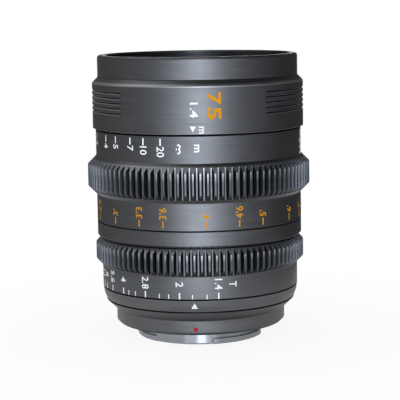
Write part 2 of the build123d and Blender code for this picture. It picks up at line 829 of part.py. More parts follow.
def rear_cell():
    """Cell of the rear group, hung from its flange on the tube's foot."""
    body = turned((rear_bore - rear_lip, rear_cell_rear), (rear_cell_outer, rear_cell_rear),
                  (rear_cell_outer, foot_top), (inner_fit, foot_top),
                  (inner_fit, foot_top + rear_cell_flange), (rear_cell_outer, foot_top + rear_cell_flange),
                  (rear_cell_outer, rear_cell_top), (rear_bore, rear_cell_top),
                  (rear_bore, rear_lip_top), (rear_bore - rear_lip, rear_lip_top))
    return body


def rear_baffle():
    """Plate with a rounded window that stops stray light behind the rear lens."""
    width, height = [rear_cell_outer * share for share in baffle_window_shares]
    disc = Circle(rear_cell_outer) - RectangleRounded(width, height, rear_cell_outer * baffle_corner_share)
    return Pos(0, 0, rear_cell_rear - baffle_thickness) * extrude(disc, amount=baffle_thickness)


def rear_ring(bottom, top):
    """Spacer or lock ring in the rear cell's bore."""
    return ring(rear_ring_bore, rear_lens_radius, bottom, top)


# Front lens group

front_cell_outer = web_bore - fixed_gap
front_flange_top = web_top + front_cell_flange
front_lens_bore = front_cell_outer - front_cell_wall
front_lens_radius = front_lens_bore - fixed_gap
second_lens_radius = front_lens_radius - second_lens_step
second_bore = second_lens_radius + fixed_gap
beauty_inner = front_lens_radius - beauty_overlap
front_ledge_bore = second_lens_radius - front_ledge
second_lock_bore = second_lens_radius - ring_wall
second_bottom = front_cell_bottom + ring_height + seat(second_lens_radius, second_lens_bulges[0],
                                                       second_lock_bore)
second_top = second_bottom + second_lens_edge
front_ledge_bottom = second_top + seat(second_lens_radius, second_lens_bulges[1], front_ledge_bore)
front_ledge_top = front_ledge_bottom + front_ledge_height
front_lens_bottom = front_ledge_top + seat(front_lens_radius, front_lens_bulges[0], front_ledge_bore)
front_lens_top = front_lens_bottom + front_lens_edge
front_cell_top = front_lens_top + front_cell_lip


def front_cell():
    """Cell of the front group, its flange on the front barrel's web."""
    body = turned((second_bore, front_cell_bottom), (front_cell_outer, front_cell_bottom),
                  (front_cell_outer, web_top), (front_bore - fixed_gap, web_top),
                  (front_bore - fixed_gap, front_flange_top), (front_cell_outer, front_flange_top),
                  (front_cell_outer, front_cell_top), (front_lens_bore, front_cell_top),
                  (front_lens_bore, front_ledge_top), (front_ledge_bore, front_ledge_top),
                  (front_ledge_bore, front_ledge_bottom), (second_bore, front_ledge_bottom))
    return body


def beauty_ring():
    """Black ring in the front recess that holds the front lens and hides the cell."""
    outer = thread_bore + relief_depth - fixed_gap
    top = lens_front - thread_length
    foot = front_lens_top + seat(front_lens_radius, front_lens_bulges[1], beauty_inner)
    shelf = front_cell_top + beauty_gap
    inner_top = top - beauty_slope
    body = turned((beauty_inner, foot), (front_lens_radius, foot), (front_lens_radius, shelf),
                  (outer, shelf), (outer, top), (outer - beauty_lip, top), (beauty_inner, inner_top))
    return body


def main():
    front_glass, rear_glass, focus_lock = focus_lenses()
    washer_outer_iris = iris_barrel - washer_inset
    washer_outer_focus = focus_barrel - washer_inset
    pieces = {
        "bayonet_mount": bayonet(),
        "mount_screws": Compound([mount_screw(azimuth) for azimuth in mount_screw_azimuths()]),
        "mount_base": mount_base(),
        "barrel_screws": Compound([barrel_screw(azimuth) for azimuth in barrel_screw_azimuths()]),
        "iris_index_ring": index_ring(),
        "rear_tube": rear_tube(),
        "middle_barrel": middle_barrel(),
        "guide_sleeve": guide_sleeve(),
        "front_barrel": front_barrel(),
        "front_rim": front_rim(),
        "beauty_ring": beauty_ring(),
        "front_cell": front_cell(),
        "front_lens": lens(front_lens_radius, front_lens_bottom, front_lens_top, front_lens_bulges),
        "second_lens": lens(second_lens_radius, second_bottom, second_top, second_lens_bulges),
        "second_lens_lock_ring": ring(second_lock_bore, second_lens_radius, front_cell_bottom,
                                      front_cell_bottom + ring_height),
        "iris_washer_rear": ring(tube_seat, washer_outer_iris, index_top, iris_bottom - washer_gap),
        "iris_washer_front": ring(tube_seat, washer_outer_iris, iris_top + washer_gap, middle_bottom),
        "focus_washer_rear": ring(land_radius + fixed_gap, washer_outer_focus, middle_top,
                                  focus_bottom - washer_gap),
        "focus_washer_front": ring(land_radius + fixed_gap, washer_outer_focus, focus_top + washer_gap,
                                   front_bottom),
        "focus_ring": focus_ring(),
        "focus_cam_sleeve": cam_sleeve(),
        "cam_screws": cam_screws(),
        "focus_cell": focus_cell(),
        "follower_pins": follower_pins(),
        "focus_lens_front": front_glass,
        "focus_lens_rear": rear_glass,
        "focus_lock_ring": focus_lock,
        "iris_ring": iris_ring(),
        "iris_drive_pin": iris_drive_pin(),
        "iris_cam_ring": iris_cam_ring(),
        "iris_housing": iris_housing(),
        "iris_lock_ring": ring(inner_fit - iris_lock_wall, inner_fit, iris_lock_bottom,
                               iris_lock_bottom + iris_lock_height),
        "rear_cell": rear_cell(),
        "rear_baffle": rear_baffle(),
        "rear_lens_back": lens(rear_lens_radius, rear_third_bottom, rear_third_top, rear_third_bulges),
        "rear_spacer_back": rear_ring(back_spacer_bottom, back_spacer_top),
        "rear_lens_middle": lens(rear_lens_radius, rear_second_bottom, rear_second_top, rear_second_bulges),
        "rear_spacer_front": rear_ring(front_spacer_bottom, front_spacer_top),
        "rear_lens_front": lens(rear_lens_radius, rear_first_bottom, rear_first_top, rear_first_bulges),
        "rear_lock_ring": rear_ring(rear_lock_bottom, rear_cell_top),
    }
    outline = blade_outline()
    for number in range(blade_count):
        pieces[f"iris_blade_{number + 1:02d}"] = iris_blade(number, outline)
    for name, shape in pieces.items():
        save(name, shape)
    print(len(pieces), "pieces, height", round(lens_front, 3), "focus travel", round(focus_travel, 3),
          "blade ratio", round(blade_ratio, 6))


main()
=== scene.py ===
"""Looks of a geared prime lens: turned barrels, gear teeth, dials, glass and a plain studio.

The optical axis is Z, the front of the lens points to +Z and the index marks face -Y. Angles
round the axis are counted from the index, positive to the right as the photograph shows it."""

import json
import math

import bmesh
import bpy
from bpy.props import FloatProperty, FloatVectorProperty, IntProperty, PointerProperty
from bpy.types import Operator, Panel, PropertyGroup
from mathutils import Matrix, Vector


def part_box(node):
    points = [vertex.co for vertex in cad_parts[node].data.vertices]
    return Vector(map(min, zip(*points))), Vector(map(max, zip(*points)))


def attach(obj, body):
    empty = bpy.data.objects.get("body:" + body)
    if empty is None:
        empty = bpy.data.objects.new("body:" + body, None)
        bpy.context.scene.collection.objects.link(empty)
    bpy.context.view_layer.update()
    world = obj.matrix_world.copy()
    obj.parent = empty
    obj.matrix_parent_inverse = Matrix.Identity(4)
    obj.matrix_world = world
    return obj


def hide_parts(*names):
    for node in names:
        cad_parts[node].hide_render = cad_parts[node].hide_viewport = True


bl_info = {
    "name": "Geared prime lens",
    "version": (1, 0, 0),
    "blender": (4, 5, 0),
    "location": "3D View > Sidebar > Prime Lens",
    "description": "Turned barrels, gear teeth, dials, glass and studio for the packed lens",
    "category": "Object",
}

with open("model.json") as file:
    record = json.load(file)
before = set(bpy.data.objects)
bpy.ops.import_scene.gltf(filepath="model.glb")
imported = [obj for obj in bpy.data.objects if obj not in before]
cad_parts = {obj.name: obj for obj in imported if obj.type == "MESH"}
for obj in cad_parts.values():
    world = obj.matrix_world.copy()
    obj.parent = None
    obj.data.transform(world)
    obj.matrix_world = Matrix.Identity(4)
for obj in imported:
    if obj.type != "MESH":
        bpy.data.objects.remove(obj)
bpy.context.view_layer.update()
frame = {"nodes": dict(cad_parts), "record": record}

MM = 0.001
INDEX_SIDE = -math.pi / 2
# Layer of real edge wear that also holds painted shade below zero and painted highlights above
# one.
WEAR_AND_LIGHT_LAYER = "wear_and_painted_light"
FINE_EDGE = 0.06 * MM     # radius of the finest edges, as beside the teeth
LAND_INSET = 1.43 * MM    # a barrel's land lies this far inside its washer's rim
TOOTH_DEPTH = 2.25        # in modules
CONE_BULGE = 0.72         # share of the rear cone's growth that is reached at half height
FONT_FIGURE = 0.682       # height of the font's figures at size 1
SCREW_GAP = 0.12          # angle between the nearest parts of two screws, at least
SHARP_ANGLE = math.radians(38)
WEAR_ANGLES = math.radians(6), math.radians(24)    # where an edge starts to wear, and is full
LONGEST_PAINT = 0.5 * MM  # side of a painted mark's triangles round the barrel
LUG_STARTS = 13.6, -102, 135                       # degrees from the index
PLAIN_WHITE = (1, 1, 1, 1)


# Properties

def length(name, description, millimetres):
    return FloatProperty(name=name, description=description, default=millimetres * MM,
                         subtype="DISTANCE", unit="LENGTH", precision=5)


def angle(name, description, degrees):
    return FloatProperty(name=name, description=description, default=math.radians(degrees),
                         subtype="ANGLE", unit="ROTATION")


def share(name, description, default):
    return FloatProperty(name=name, description=description, default=default, min=0, max=1,
                         subtype="FACTOR")


def colour(name, description, default):
    return FloatVectorProperty(name=name, description=description, default=default, size=3,
                               min=0, max=1, subtype="COLOR")


def power(name, description, default):
    return FloatProperty(name=name, description=description, default=default, min=0,
                         subtype="POWER", unit="POWER")


def count(name, description, default):
    return IntProperty(name=name, description=description, default=default, min=1)


class TurningSizes(PropertyGroup):
    """What all turned pieces share."""
    columns: count("Columns", "Faces round a full turn", 256)
    edge: length("Edge", "Radius that breaks each outer edge", 0.08)


class RimSizes(PropertyGroup):
    """Front rim with the filter thread."""
    wall: length("Wall", "From the thread's crests to the outside", 2.77)
    rounding: length("Rounding", "Radius of the outer front edge", 1.5)
    entry: length("Entry", "Chamfer where a filter starts", 0.4)
    thread_length: length("Thread length", "From the front to the thread's end", 5.3)
    thread_pitch: length("Thread pitch", "Rise in one turn", 0.75)
    thread_depth: length("Thread depth", "From crest to root", 0.42)
    relief: length("Relief", "Step behind the thread", 0.6)


class GripSizes(PropertyGroup):
    """Grip grooves of the front barrel."""
    grooves: count("Grooves", "Grooves along the barrel", 5)
    first: length("First", "From the barrel's rear edge to the first groove", 5.8)
    spacing: length("Spacing", "From one groove to the next", 1.8)
    width: length("Width", "Width of a groove at its mouth", 0.9)
    depth: length("Depth", "Depth of a groove", 0.35)
    slope: length("Slope", "Width of a groove's side", 0.3)
    pad: angle("Pad", "Smooth pad at the index, from side to side", 81.4)
    run_out: angle("Run out", "Over which a groove rises to the pad", 1.4)
    chamfer: length("Chamfer", "Chamfer in front of the grooves", 2.0)


class FocusGearSizes(PropertyGroup):
    """Geared focus ring, heights counted from its rear edge."""
    teeth: count("Teeth", "Teeth round the ring", 98)
    module: length("Module", "Pitch diameter for each tooth", 0.8)
    flank: angle("Flank", "Slope of a tooth's side", 20)
    step: length("Step", "From the scale barrels up to the tips", 3.1)
    rear_scale: length("Rear scale", "Length of the rear scale barrel", 9.4)
    face: length("Face", "Length of the teeth at the tips", 7.5)
    bore: length("Bore", "Radius of the bore", 34.9)


class IrisGearSizes(PropertyGroup):
    """Geared iris ring, heights counted from its rear edge."""
    teeth: count("Teeth", "Teeth round the ring", 92)
    module: length("Module", "Pitch diameter for each tooth", 0.8)
    flank: angle("Flank", "Slope of a tooth's side", 20)
    step: length("Step", "From the scale barrel up to the tips", 2.23)
    rear_scale: length("Rear scale", "Length of the scale barrel", 7.8)
    face: length("Face", "Length of the teeth at the tips", 5.5)
    front_step: length("Front step", "From the tips down to the front lip", 1.85)
    bore: length("Bore", "Radius of the bore", 34.0)


class MountSizes(PropertyGroup):
    """Bayonet, its base and the rear rings."""
    bore: length("Bore", "Radius of the bayonet's bore", 20.5)
    neck: length("Neck", "Outer radius of the bayonet's tube", 21.9)
    lug: length("Lug", "Outer radius of the lugs", 22.95)
    lug_height: length("Lug height", "Thickness of a lug", 1.9)
    lug_span: angle("Lug span", "Length of a lug round the axis", 60)
    stiffener: length("Stiffener", "Outer radius of the thick part of the tube", 22.6)
    stiffener_start: angle("Stiffener start", "Where the thick part starts", -42)
    stiffener_end: angle("Stiffener end", "Where the thick part ends", 12.4)
    flange: length("Flange", "Height of the flange face", 4.9)
    plate: length("Plate", "Radius of the flange plate", 28.9)
    plate_height: length("Plate height", "Thickness of the flange plate", 1.6)
    spigot: length("Spigot", "Radius of the spigot in the base", 22.87)
    screw_circle: length("Screw circle", "Radius at which the screws sit", 25.885)
    screw_head: length("Screw head", "Radius of a screw's head", 1.75)
    lock_hole: length("Lock hole", "Radius of the hole for the lock pin", 1.3)
    lock_azimuth: angle("Lock azimuth", "Where the lock hole is", 97)
    base: length("Base", "Radius of the base", 30.56)
    base_chamfer: length("Base chamfer", "Chamfer of the base's rear edge", 1.0)
    base_straight: length("Base straight", "Straight part of the base", 4.1)
    seam: length("Seam", "Width of the seam in front of the base", 0.5)
    seam_depth: length("Seam depth", "Depth of that seam", 1.0)


class DialSizes(PropertyGroup):
    """Painted figures and marks."""
    lift: length("Lift", "Paint above the metal", 0.025)
    root: length("Root", "Paint below the metal's surface", 0.12)
    figure: length("Figure", "Height of a dial's figures", 2.57)
    figure_width: share("Figure width", "Width of a dial's figures against the font's", 0.98)
    weight: share("Weight", "Thickening of the strokes, in heights", 0.012)
    tick_width: length("Tick width", "Width of a main tick", 0.5)
    tick_length: length("Tick length", "Length of a main tick", 2.4)
    minor_width: length("Minor width", "Width of a minor tick", 0.34)
    minor_length: length("Minor length", "Length of a minor tick", 1.55)
    focal_figure: length("Focal figure", "Height of the large figures at the front", 4.4)


class Finishes(PropertyGroup):
    """Colours and surfaces."""
    metal: colour("Anodised metal", "Gunmetal of the barrels", (0.145, 0.148, 0.155))
    tooth: colour("Tooth metal", "Gunmetal of the teeth at their tips", (0.125, 0.132, 0.145))
    # Painted shade colour, put deep between the teeth, in grooves and in seams.
    gap: colour("Painted gap shade", "Gunmetal deep between the teeth", (0.012, 0.014, 0.02))
    # Also the colour of the painted highlights on marked corners and slopes.
    bare: colour("Bare metal", "Aluminium where the anodising has worn off", (0.46, 0.47, 0.48))
    bore: colour("Thread metal", "Darker metal of the filter thread", (0.125, 0.134, 0.15))
    black: colour("Inner black", "Matt black inside the lens", (0.018, 0.018, 0.02))
    chrome: colour("Chrome", "Bayonet", (0.45, 0.47, 0.51))
    steel: colour("Steel", "Screws and pins", (0.5, 0.5, 0.51))
    brass: colour("Brass", "Helicoid and its pins", (0.6, 0.44, 0.2))
    blade: colour("Blade", "Blackened spring steel", (0.035, 0.035, 0.038))
    plastic: colour("Plastic", "Sliding washers", (0.005, 0.005, 0.006))
    glass: colour("Glass", "Tint of the glass", (0.96, 0.985, 0.97))
    white: colour("White paint", "White marks", (0.93, 0.94, 0.95))
    orange: colour("Orange paint", "Orange marks", (0.6, 0.26, 0.002))
    red: colour("Red paint", "Red mark", (0.42, 0.012, 0.03))
    metal_roughness: share("Metal roughness", "Roughness of the barrels", 0.36)
    brushing: share("Brushing", "Stretch of highlights across the turning lines", 0.55)
    wear: share("Wear", "How much of the edges is worn bare", 0.2)


class StudioSettings(PropertyGroup):
    """Camera, floor and lamps."""
    focal_length: FloatProperty(name="Focal length", description="Lens of the camera",
                                default=137.39, unit="CAMERA")
    distance: length("Distance", "From the camera to the point it looks at", 554.8)
    aim_height: length("Aim height", "Height of the point it looks at", 48.5)
    elevation: angle("Elevation", "Camera above the horizon", 7.6)
    azimuth: angle("Azimuth", "Camera to the right of the index", 2.9)
    roll: angle("Roll", "Camera turned clockwise", 0.867)
    shift: FloatProperty(name="Shift", description="Sideways shift of the picture",
                         default=0.00215, precision=5)
    floor_radius: length("Floor radius", "Radius of the white floor", 150)
    floor_white: share("Floor white", "How much of the floor is plain white at the lens", 0.9)
    key_power: power("Key power", "Narrow tall soft box in front", 4.7)
    wide_power: power("Wide power", "Wide soft box behind the narrow one", 3.0)
    top_power: power("Top power", "Soft box above at the left", 0.7)
    front_power: power("Front power", "Small soft box high in front", 0.8)
    back_power: power("Back power", "Small soft box behind", 0.7)
    key_colour: colour("Key colour", "Tint of the front soft boxes", (0.84, 0.91, 1.0))
    room_left: share("Room left", "Brightness of the room at the left", 0.29)
    room_right: share("Room right", "Brightness of the room at the right", 0.25)
    room_back_left: share("Room back left", "Brightness at the left behind the lens", 0.13)
    room_back_right: share("Room back right", "Brightness at the right behind the lens", 0.07)
    room_above: share("Room above", "Brightness overhead against the sides", 0.3)
    through_glass: share("Through glass", "Brightness of the background behind glass", 0.4)
    room_below: FloatProperty(name="Room below", min=0, max=4, default=1.5,
                              description="Gain of the room towards the floor")
    room_diffuse: share("Room diffuse", "Brightness of the room for matt surfaces", 0.5)
    floor_clear: share("Floor clear", "How much a reflection sees through the floor", 0.35)
    # The next three paint a shadow of the lens on the floor as reflections see it, by weakening
    # the floor's white near the lens.
    shade_white: share("Shade white", "Brightness of the floor right under the lens", 0.5)
    shade_start: length("Shade start", "Radius at which the lens's shade starts to fade", 32)
    shade_end: length("Shade end", "Radius at which the shade ends", 50)


class PrimeLens(PropertyGroup):
    """All settings of the lens."""
    turning: PointerProperty(type=TurningSizes)
    rim: PointerProperty(type=RimSizes)
    grip: PointerProperty(type=GripSizes)
    focus: PointerProperty(type=FocusGearSizes)
    iris: PointerProperty(type=IrisGearSizes)
    mount: PointerProperty(type=MountSizes)
    dial: PointerProperty(type=DialSizes)
    finish: PointerProperty(type=Finishes)
    studio: PointerProperty(type=StudioSettings)


def settings():
    return bpy.context.scene.prime_lens


# Reading the frame

def reach(node):
    """Lowest height, highest height and outer radius of a node of the frame."""
    low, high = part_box(node)
    return low.z, high.z, max(high.x, high.y, -low.x, -low.y)


# Outlines

def round_corners(outline, radius, steps=3, guard=0.07 * MM):
    """Closed outline with its corners rounded.

    A point's third number is its own radius, and zero leaves it sharp. A guard point each side
    of a rounding keeps the flats flat in shading and the wear on the edge alone."""
    rounded = []
    tiny, straight = 1e-9, 3.08      # a length in metres and an angle
    most, guarded = 0.44, 0.48       # shares of a side that a rounding may take up
    for place, point in enumerate(outline):
        here = Vector(point[:2])
        before = Vector(outline[place - 1][:2]) - here
        after = Vector(outline[(place + 1) % len(outline)][:2]) - here
        own = point[2] if len(point) > 2 else radius
        shorter = min(before.length, after.length)
        if own <= 0 or shorter < tiny or before.angle(after) > straight:
            rounded.append(here)
            continue
        half = before.angle(after) / 2
        back = min(own / math.tan(half), most * shorter)
        own = back * math.tan(half)
        before_unit, after_unit = before.normalized(), after.normalized()
        centre = here + (before_unit + after_unit).normalized() * (own / math.sin(half))
        start = here + before_unit * back - centre
        end = here + after_unit * back - centre
        first = math.atan2(start.y, start.x)
        sweep = (math.atan2(end.y, end.x) - first + math.pi) % math.tau - math.pi
        if back + guard < guarded * before.length:
            rounded.append(here + before_unit * (back + guard))
        for step in range(steps + 1):
            at = first + sweep * step / steps
            rounded.append(centre + own * Vector((math.cos(at), math.sin(at))))
        if back + guard < guarded * after.length:
            rounded.append(here + after_unit * (back + guard))
    return rounded


def bevelled(outline, edge=None, steps=3):
    return round_corners(outline, settings().turning.edge if edge is None else edge, steps)


def lens_arc(radius, edge_height, apex_height, steps=24):
    """Points of a spherical face from the axis to the edge."""
    bulge = apex_height - edge_height
    ball = (radius ** 2 + bulge ** 2) / (2 * bulge)
    widest = math.asin(radius / abs(ball))
    turns = [widest * step / steps for step in range(steps + 1)]
    return [(abs(ball) * math.sin(at), apex_height - ball + ball * math.cos(at)) for at in turns]


def even_turns(steps):
    """Angles that part a full turn evenly."""
    return [math.tau * step / steps for step in range(steps)]


def turn_steps(extra=()):
    """Angles of the columns round a full turn, with more where a shape starts or ends."""
    columns = settings().turning.columns
    wanted = [(INDEX_SIDE + at) % math.tau for at in extra]
    clear = math.pi / columns * 0.5
    kept = [at for at in even_turns(columns) if all(abs(at - other) > clear for other in wanted)]
    return sorted(kept + wanted)


# Meshes

def new_mesh(name, vertices, faces):
    mesh = bpy.data.meshes.new(name)
    mesh.from_pydata(vertices, [], faces)
    mesh.validate()
    return mesh


def new_object(name, data):
    """An object in the scene, at the origin."""
    made = bpy.data.objects.new(name, data)
    bpy.context.scene.collection.objects.link(made)
    return made


def final_mesh(piece):
    """The mesh of an object with its modifiers worked in."""
    bpy.context.view_layer.update()
    seen = piece.evaluated_get(bpy.context.evaluated_depsgraph_get())
    return bpy.data.meshes.new_from_object(seen)


def spin(name, outline, angles=None):
    """Closed solid turned about the axis from a closed (radius, height) outline."""
    pairs = list(zip(outline, list(outline[1:]) + [outline[0]]))
    if sum(a[0] * b[1] - b[0] * a[1] for a, b in pairs) < 0:
        outline = list(reversed(outline))
    turns = [(math.cos(at), math.sin(at)) for at in (angles or turn_steps())]
    vertices, rows = [], []
    for radius, height in outline:
        if radius < 1e-7:
            rows.append([len(vertices)] * len(turns))
            vertices.append((0, 0, height))
        else:
            rows.append(list(range(len(vertices), len(vertices) + len(turns))))
            vertices += [(radius * x, radius * y, height) for x, y in turns]
    faces = []
    for lower, upper in zip(rows, rows[1:] + rows[:1]):
        if len(set(lower)) == 1 and len(set(upper)) == 1:
            continue
        for column in range(len(turns)):
            after = (column + 1) % len(turns)
            corners = (lower[column], lower[after], upper[after], upper[column])
            faces.append(tuple(dict.fromkeys(corners)))
    return new_mesh(name, vertices, faces)


def mark_where(mesh, value_at):
    """Stores a value of the layer of wear and painted light where the function of (radius,
    height, turn) gives one.

    The turn is counted from the index. The value is -1 for painted shade deep in a groove, 1 at
    an edge that wears in patches and 2 for a painted highlight on a corner, drawn as bare metal."""
    layer = mesh.attributes.get(WEAR_AND_LIGHT_LAYER) or mesh.attributes.new(WEAR_AND_LIGHT_LAYER, "FLOAT", "POINT")
    for corner, stored in zip(mesh.vertices, layer.data):
        value = value_at(math.hypot(corner.co.x, corner.co.y), corner.co.z,
                         math.atan2(corner.co.x, -corner.co.y))
        if value is not None:
            stored.value = value


def mark_wear(mesh):
    """Stores how sharp and outward each corner is, for the edge wear in the materials."""
    least, full = WEAR_ANGLES
    shape = bmesh.new()
    shape.from_mesh(mesh)
    layer = shape.verts.layers.float.get(WEAR_AND_LIGHT_LAYER) or shape.verts.layers.float.new(WEAR_AND_LIGHT_LAYER)
    for edge in shape.edges:
        bend = edge.calc_face_angle_signed(0)
        if bend > least:
            for corner in edge.verts:
                corner[layer] = max(corner[layer], min(1, bend / full))
    shape.to_mesh(mesh)
    shape.free()


def smooth(mesh):
    """Smooth shading that stays crisp at corners."""
    mesh.shade_smooth()
    mesh.set_sharp_from_angle(angle=SHARP_ANGLE)


def place(name, mesh, material):
    """An object for a finished mesh, with its material."""
    mesh.materials.clear()
    mesh.materials.append(material)
    return new_object(name, mesh)


def turned(name, outline, slot="barrel_anodised", angles=None, **rounding):
    """A piece turned from an outline, with broken edges."""
    name += "_turned"
    return place(name, spin(name, bevelled(outline, **rounding), angles), finish_for(slot))


def keep_result(piece):
    """Makes the result of a piece's modifiers its plain mesh."""
    mesh = final_mesh(piece)
    piece.modifiers.clear()
    piece.data = mesh


def cut(piece, shapes):
    """Takes the shapes, which are meshes, out of the piece."""
    cutters = [new_object(shape.name, shape) for shape in shapes]
    for cutter in cutters:
        modifier = piece.modifiers.new("Cut", "BOOLEAN")
        modifier.operation = "DIFFERENCE"
        modifier.solver = "EXACT"
        modifier.object = cutter
    keep_result(piece)
    for cutter in cutters:
        bpy.data.objects.remove(cutter)


def settle(piece, body, node):
    """Gives a finished piece its shading and its body, and hides the node that it stands for."""
    smooth(piece.data)
    mark_wear(piece.data)
    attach(piece, body)
    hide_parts(node)


# Node trees

SOCKET_KINDS = {"Geometry": "NodeSocketGeometry", "Material": "NodeSocketMaterial",
                "Position": "NodeSocketVector", int: "NodeSocketInt", float: "NodeSocketFloat"}


class Wiring:
    """Adds nodes to a tree and feeds them, so that a tree reads as a recipe."""

    def __init__(self, tree):
        self.tree = tree

    def feed(self, inputs, feeds):
        """Links each input that is given a socket, and sets the others to their values."""
        for name, value in feeds.items():
            if isinstance(value, bpy.types.NodeSocket):
                self.tree.links.new(value, inputs[name])
            else:
                inputs[name].default_value = value

    def add(self, kind, feeds=None, **choices):
        """The outputs of a new node."""
        node = self.tree.nodes.new(kind)
        for name, value in choices.items():
            setattr(node, name, value)
        self.feed(node.inputs, feeds or {})
        return node.outputs

    def one(self, kind, feeds=None, **choices):
        """The first output of a new node."""
        return self.add(kind, feeds, **choices)[0]

    def calc(self, operation, *values, clamp=False):
        """Result of one step of arithmetic."""
        return self.one("ShaderNodeMath", dict(enumerate(values)), operation=operation,
                        use_clamp=clamp)

    def times(self, *values):
        """Product of two or more values."""
        product = values[0]
        for value in values[1:]:
            product = self.calc("MULTIPLY", product, value)
        return product

    def spread(self, value, low, high, new_low, new_high):
        """A value carried from one range to another, and held inside it."""
        return self.one("ShaderNodeMapRange", {"Value": value, "From Min": low, "From Max": high,
                                               "To Min": new_low, "To Max": new_high})

    def blend(self, factor, first, second):
        """A colour between two others."""
        return self.add("ShaderNodeMix", {0: factor, 6: first, 7: second}, data_type="RGBA")[2]

    def split(self, position):
        """X, Y and Z of a position, and its distance from the axis."""
        parts = self.add("ShaderNodeSeparateXYZ", {0: position})
        x, y, z = parts["X"], parts["Y"], parts["Z"]
        return x, y, z, self.calc("SQRT", self.calc("MULTIPLY_ADD", x, x, self.times(y, y)))

    def pattern(self, name, feeds):
        """The outputs of one of the shared patterns."""
        recipe, inputs, outputs = PATTERNS[name]
        tree = shared_tree(name, "ShaderNodeTree", recipe, inputs, outputs)
        return self.add("ShaderNodeGroup", feeds, node_tree=tree)


def shared_tree(name, kind, recipe, inputs, outputs):
    """A node tree with named sockets, made when it is first asked for.

    Each socket has a default, which also tells its kind, and a note. The recipe gets the
    wiring and the inputs, and returns what the outputs are fed."""
    if name in bpy.data.node_groups:
        return bpy.data.node_groups[name]
    tree = bpy.data.node_groups.new(name, kind)
    for side, sockets in (("INPUT", inputs), ("OUTPUT", outputs)):
        for label, (default, note) in sockets.items():
            made = tree.interface.new_socket(
                name=label, in_out=side, description=note,
                socket_type=SOCKET_KINDS.get(label) or SOCKET_KINDS[type(default)])
            if default is not None:
                made.default_value = default
    wiring = Wiring(tree)
    results = recipe(wiring, wiring.add("NodeGroupInput"))
    wiring.feed(tree.nodes.new("NodeGroupOutput").inputs, results)
    return tree


def grow(piece, name, values):
    """Runs one of the shape trees on a piece and keeps the result as its plain mesh."""
    recipe, inputs = SHAPE_TREES[name]

    def whole(wiring, entry):
        solid = wiring.one("GeometryNodeRealizeInstances", {0: recipe(wiring, entry)})
        return {"Geometry": wiring.one("GeometryNodeSetMaterial", {
            "Geometry": solid, "Material": entry["Material"]})}

    tree = shared_tree(name, "GeometryNodeTree", whole, {
        "Geometry": (None, "Shape to start from"), **inputs,
        "Material": (None, "Material of the result")}, {"Geometry": (None, "Result")})
    modifier = piece.modifiers.new(name, "NODES")
    modifier.node_group = tree
    for item in tree.interface.items_tree:
        if item.item_type == "SOCKET" and item.in_out == "INPUT" and item.name in values:
            modifier[item.identifier] = values[item.name]
    keep_result(piece)


def ring_array(wiring, entry):
    """Copies a shape round the optical axis."""
    turn = wiring.calc("MULTIPLY_ADD", wiring.one("GeometryNodeInputIndex"), entry["Step"],
                       entry["Start"])
    euler = wiring.one("ShaderNodeCombineXYZ", {"Z": turn})
    return wiring.one("GeometryNodeInstanceOnPoints", {
        "Points": wiring.one("GeometryNodePoints", {"Count": entry["Count"]}),
        "Instance": wiring.one("GeometryNodeGeometryToInstance", {0: entry["Geometry"]}),
        "Rotation": wiring.one("FunctionNodeEulerToRotation", {0: euler})})


def copy_round(piece, number, start, material):
    """Repeats a piece evenly round the axis."""
    grow(piece, "Ring array", {"Count": number, "Start": start, "Step": math.tau / number,
                               "Material": material})


def polar_inputs(wiring):
    """Radius, height and angle from the index of each point."""
    x, y, z, radius = wiring.split(wiring.one("GeometryNodeInputPosition"))
    return radius, z, wiring.calc("ARCTAN2", x, wiring.times(y, -1.0))


def move_outward(wiring, entry, compare, distance):
    """Moves points along their radius where two values compare so."""
    operation, first, second = compare
    chosen = wiring.one("FunctionNodeCompare", {0: first, 1: second}, data_type="FLOAT",
                        operation=operation)
    flat = wiring.one("ShaderNodeVectorMath", {
        0: wiring.one("GeometryNodeInputPosition"), 1: (1, 1, 0)}, operation="MULTIPLY")
    outward = wiring.one("ShaderNodeVectorMath", {0: flat}, operation="NORMALIZE")
    offset = wiring.one("ShaderNodeVectorMath", {0: outward, "Scale": distance},
                        operation="SCALE")
    return wiring.one("GeometryNodeSetPosition", {
        "Geometry": entry["Geometry"], "Selection": chosen, "Offset": offset})


def grip_grooves(wiring, entry):
    """Cuts level grooves into a turned wall, but for a smooth pad at the index."""
    calc, times = wiring.calc, wiring.times
    radius, height, turn = polar_inputs(wiring)
    place_in = calc("DIVIDE", calc("SUBTRACT", height, entry["First"]), entry["Spacing"])
    number = calc("FLOOR", calc("ADD", place_in, 0.0001))
    into = times(calc("SUBTRACT", place_in, number), entry["Spacing"])
    side = calc("MINIMUM", into, calc("SUBTRACT", entry["Width"], into))
    profile = calc("DIVIDE", side, entry["Slope"], clamp=True)
    after_first = calc("GREATER_THAN", number, -0.5)
    before_last = calc("LESS_THAN", number, calc("SUBTRACT", entry["Count"], 0.5))
    from_pad = calc("SUBTRACT", calc("ABSOLUTE", turn), times(entry["Pad"], 0.5))
    run_out = calc("DIVIDE", from_pad, entry["Run out"], clamp=True)
    depth = times(profile, times(after_first, before_last), times(run_out, entry["Depth"]))
    return move_outward(wiring, entry, ("GREATER_THAN", radius, entry["Wall"]),
                        times(depth, -1.0))


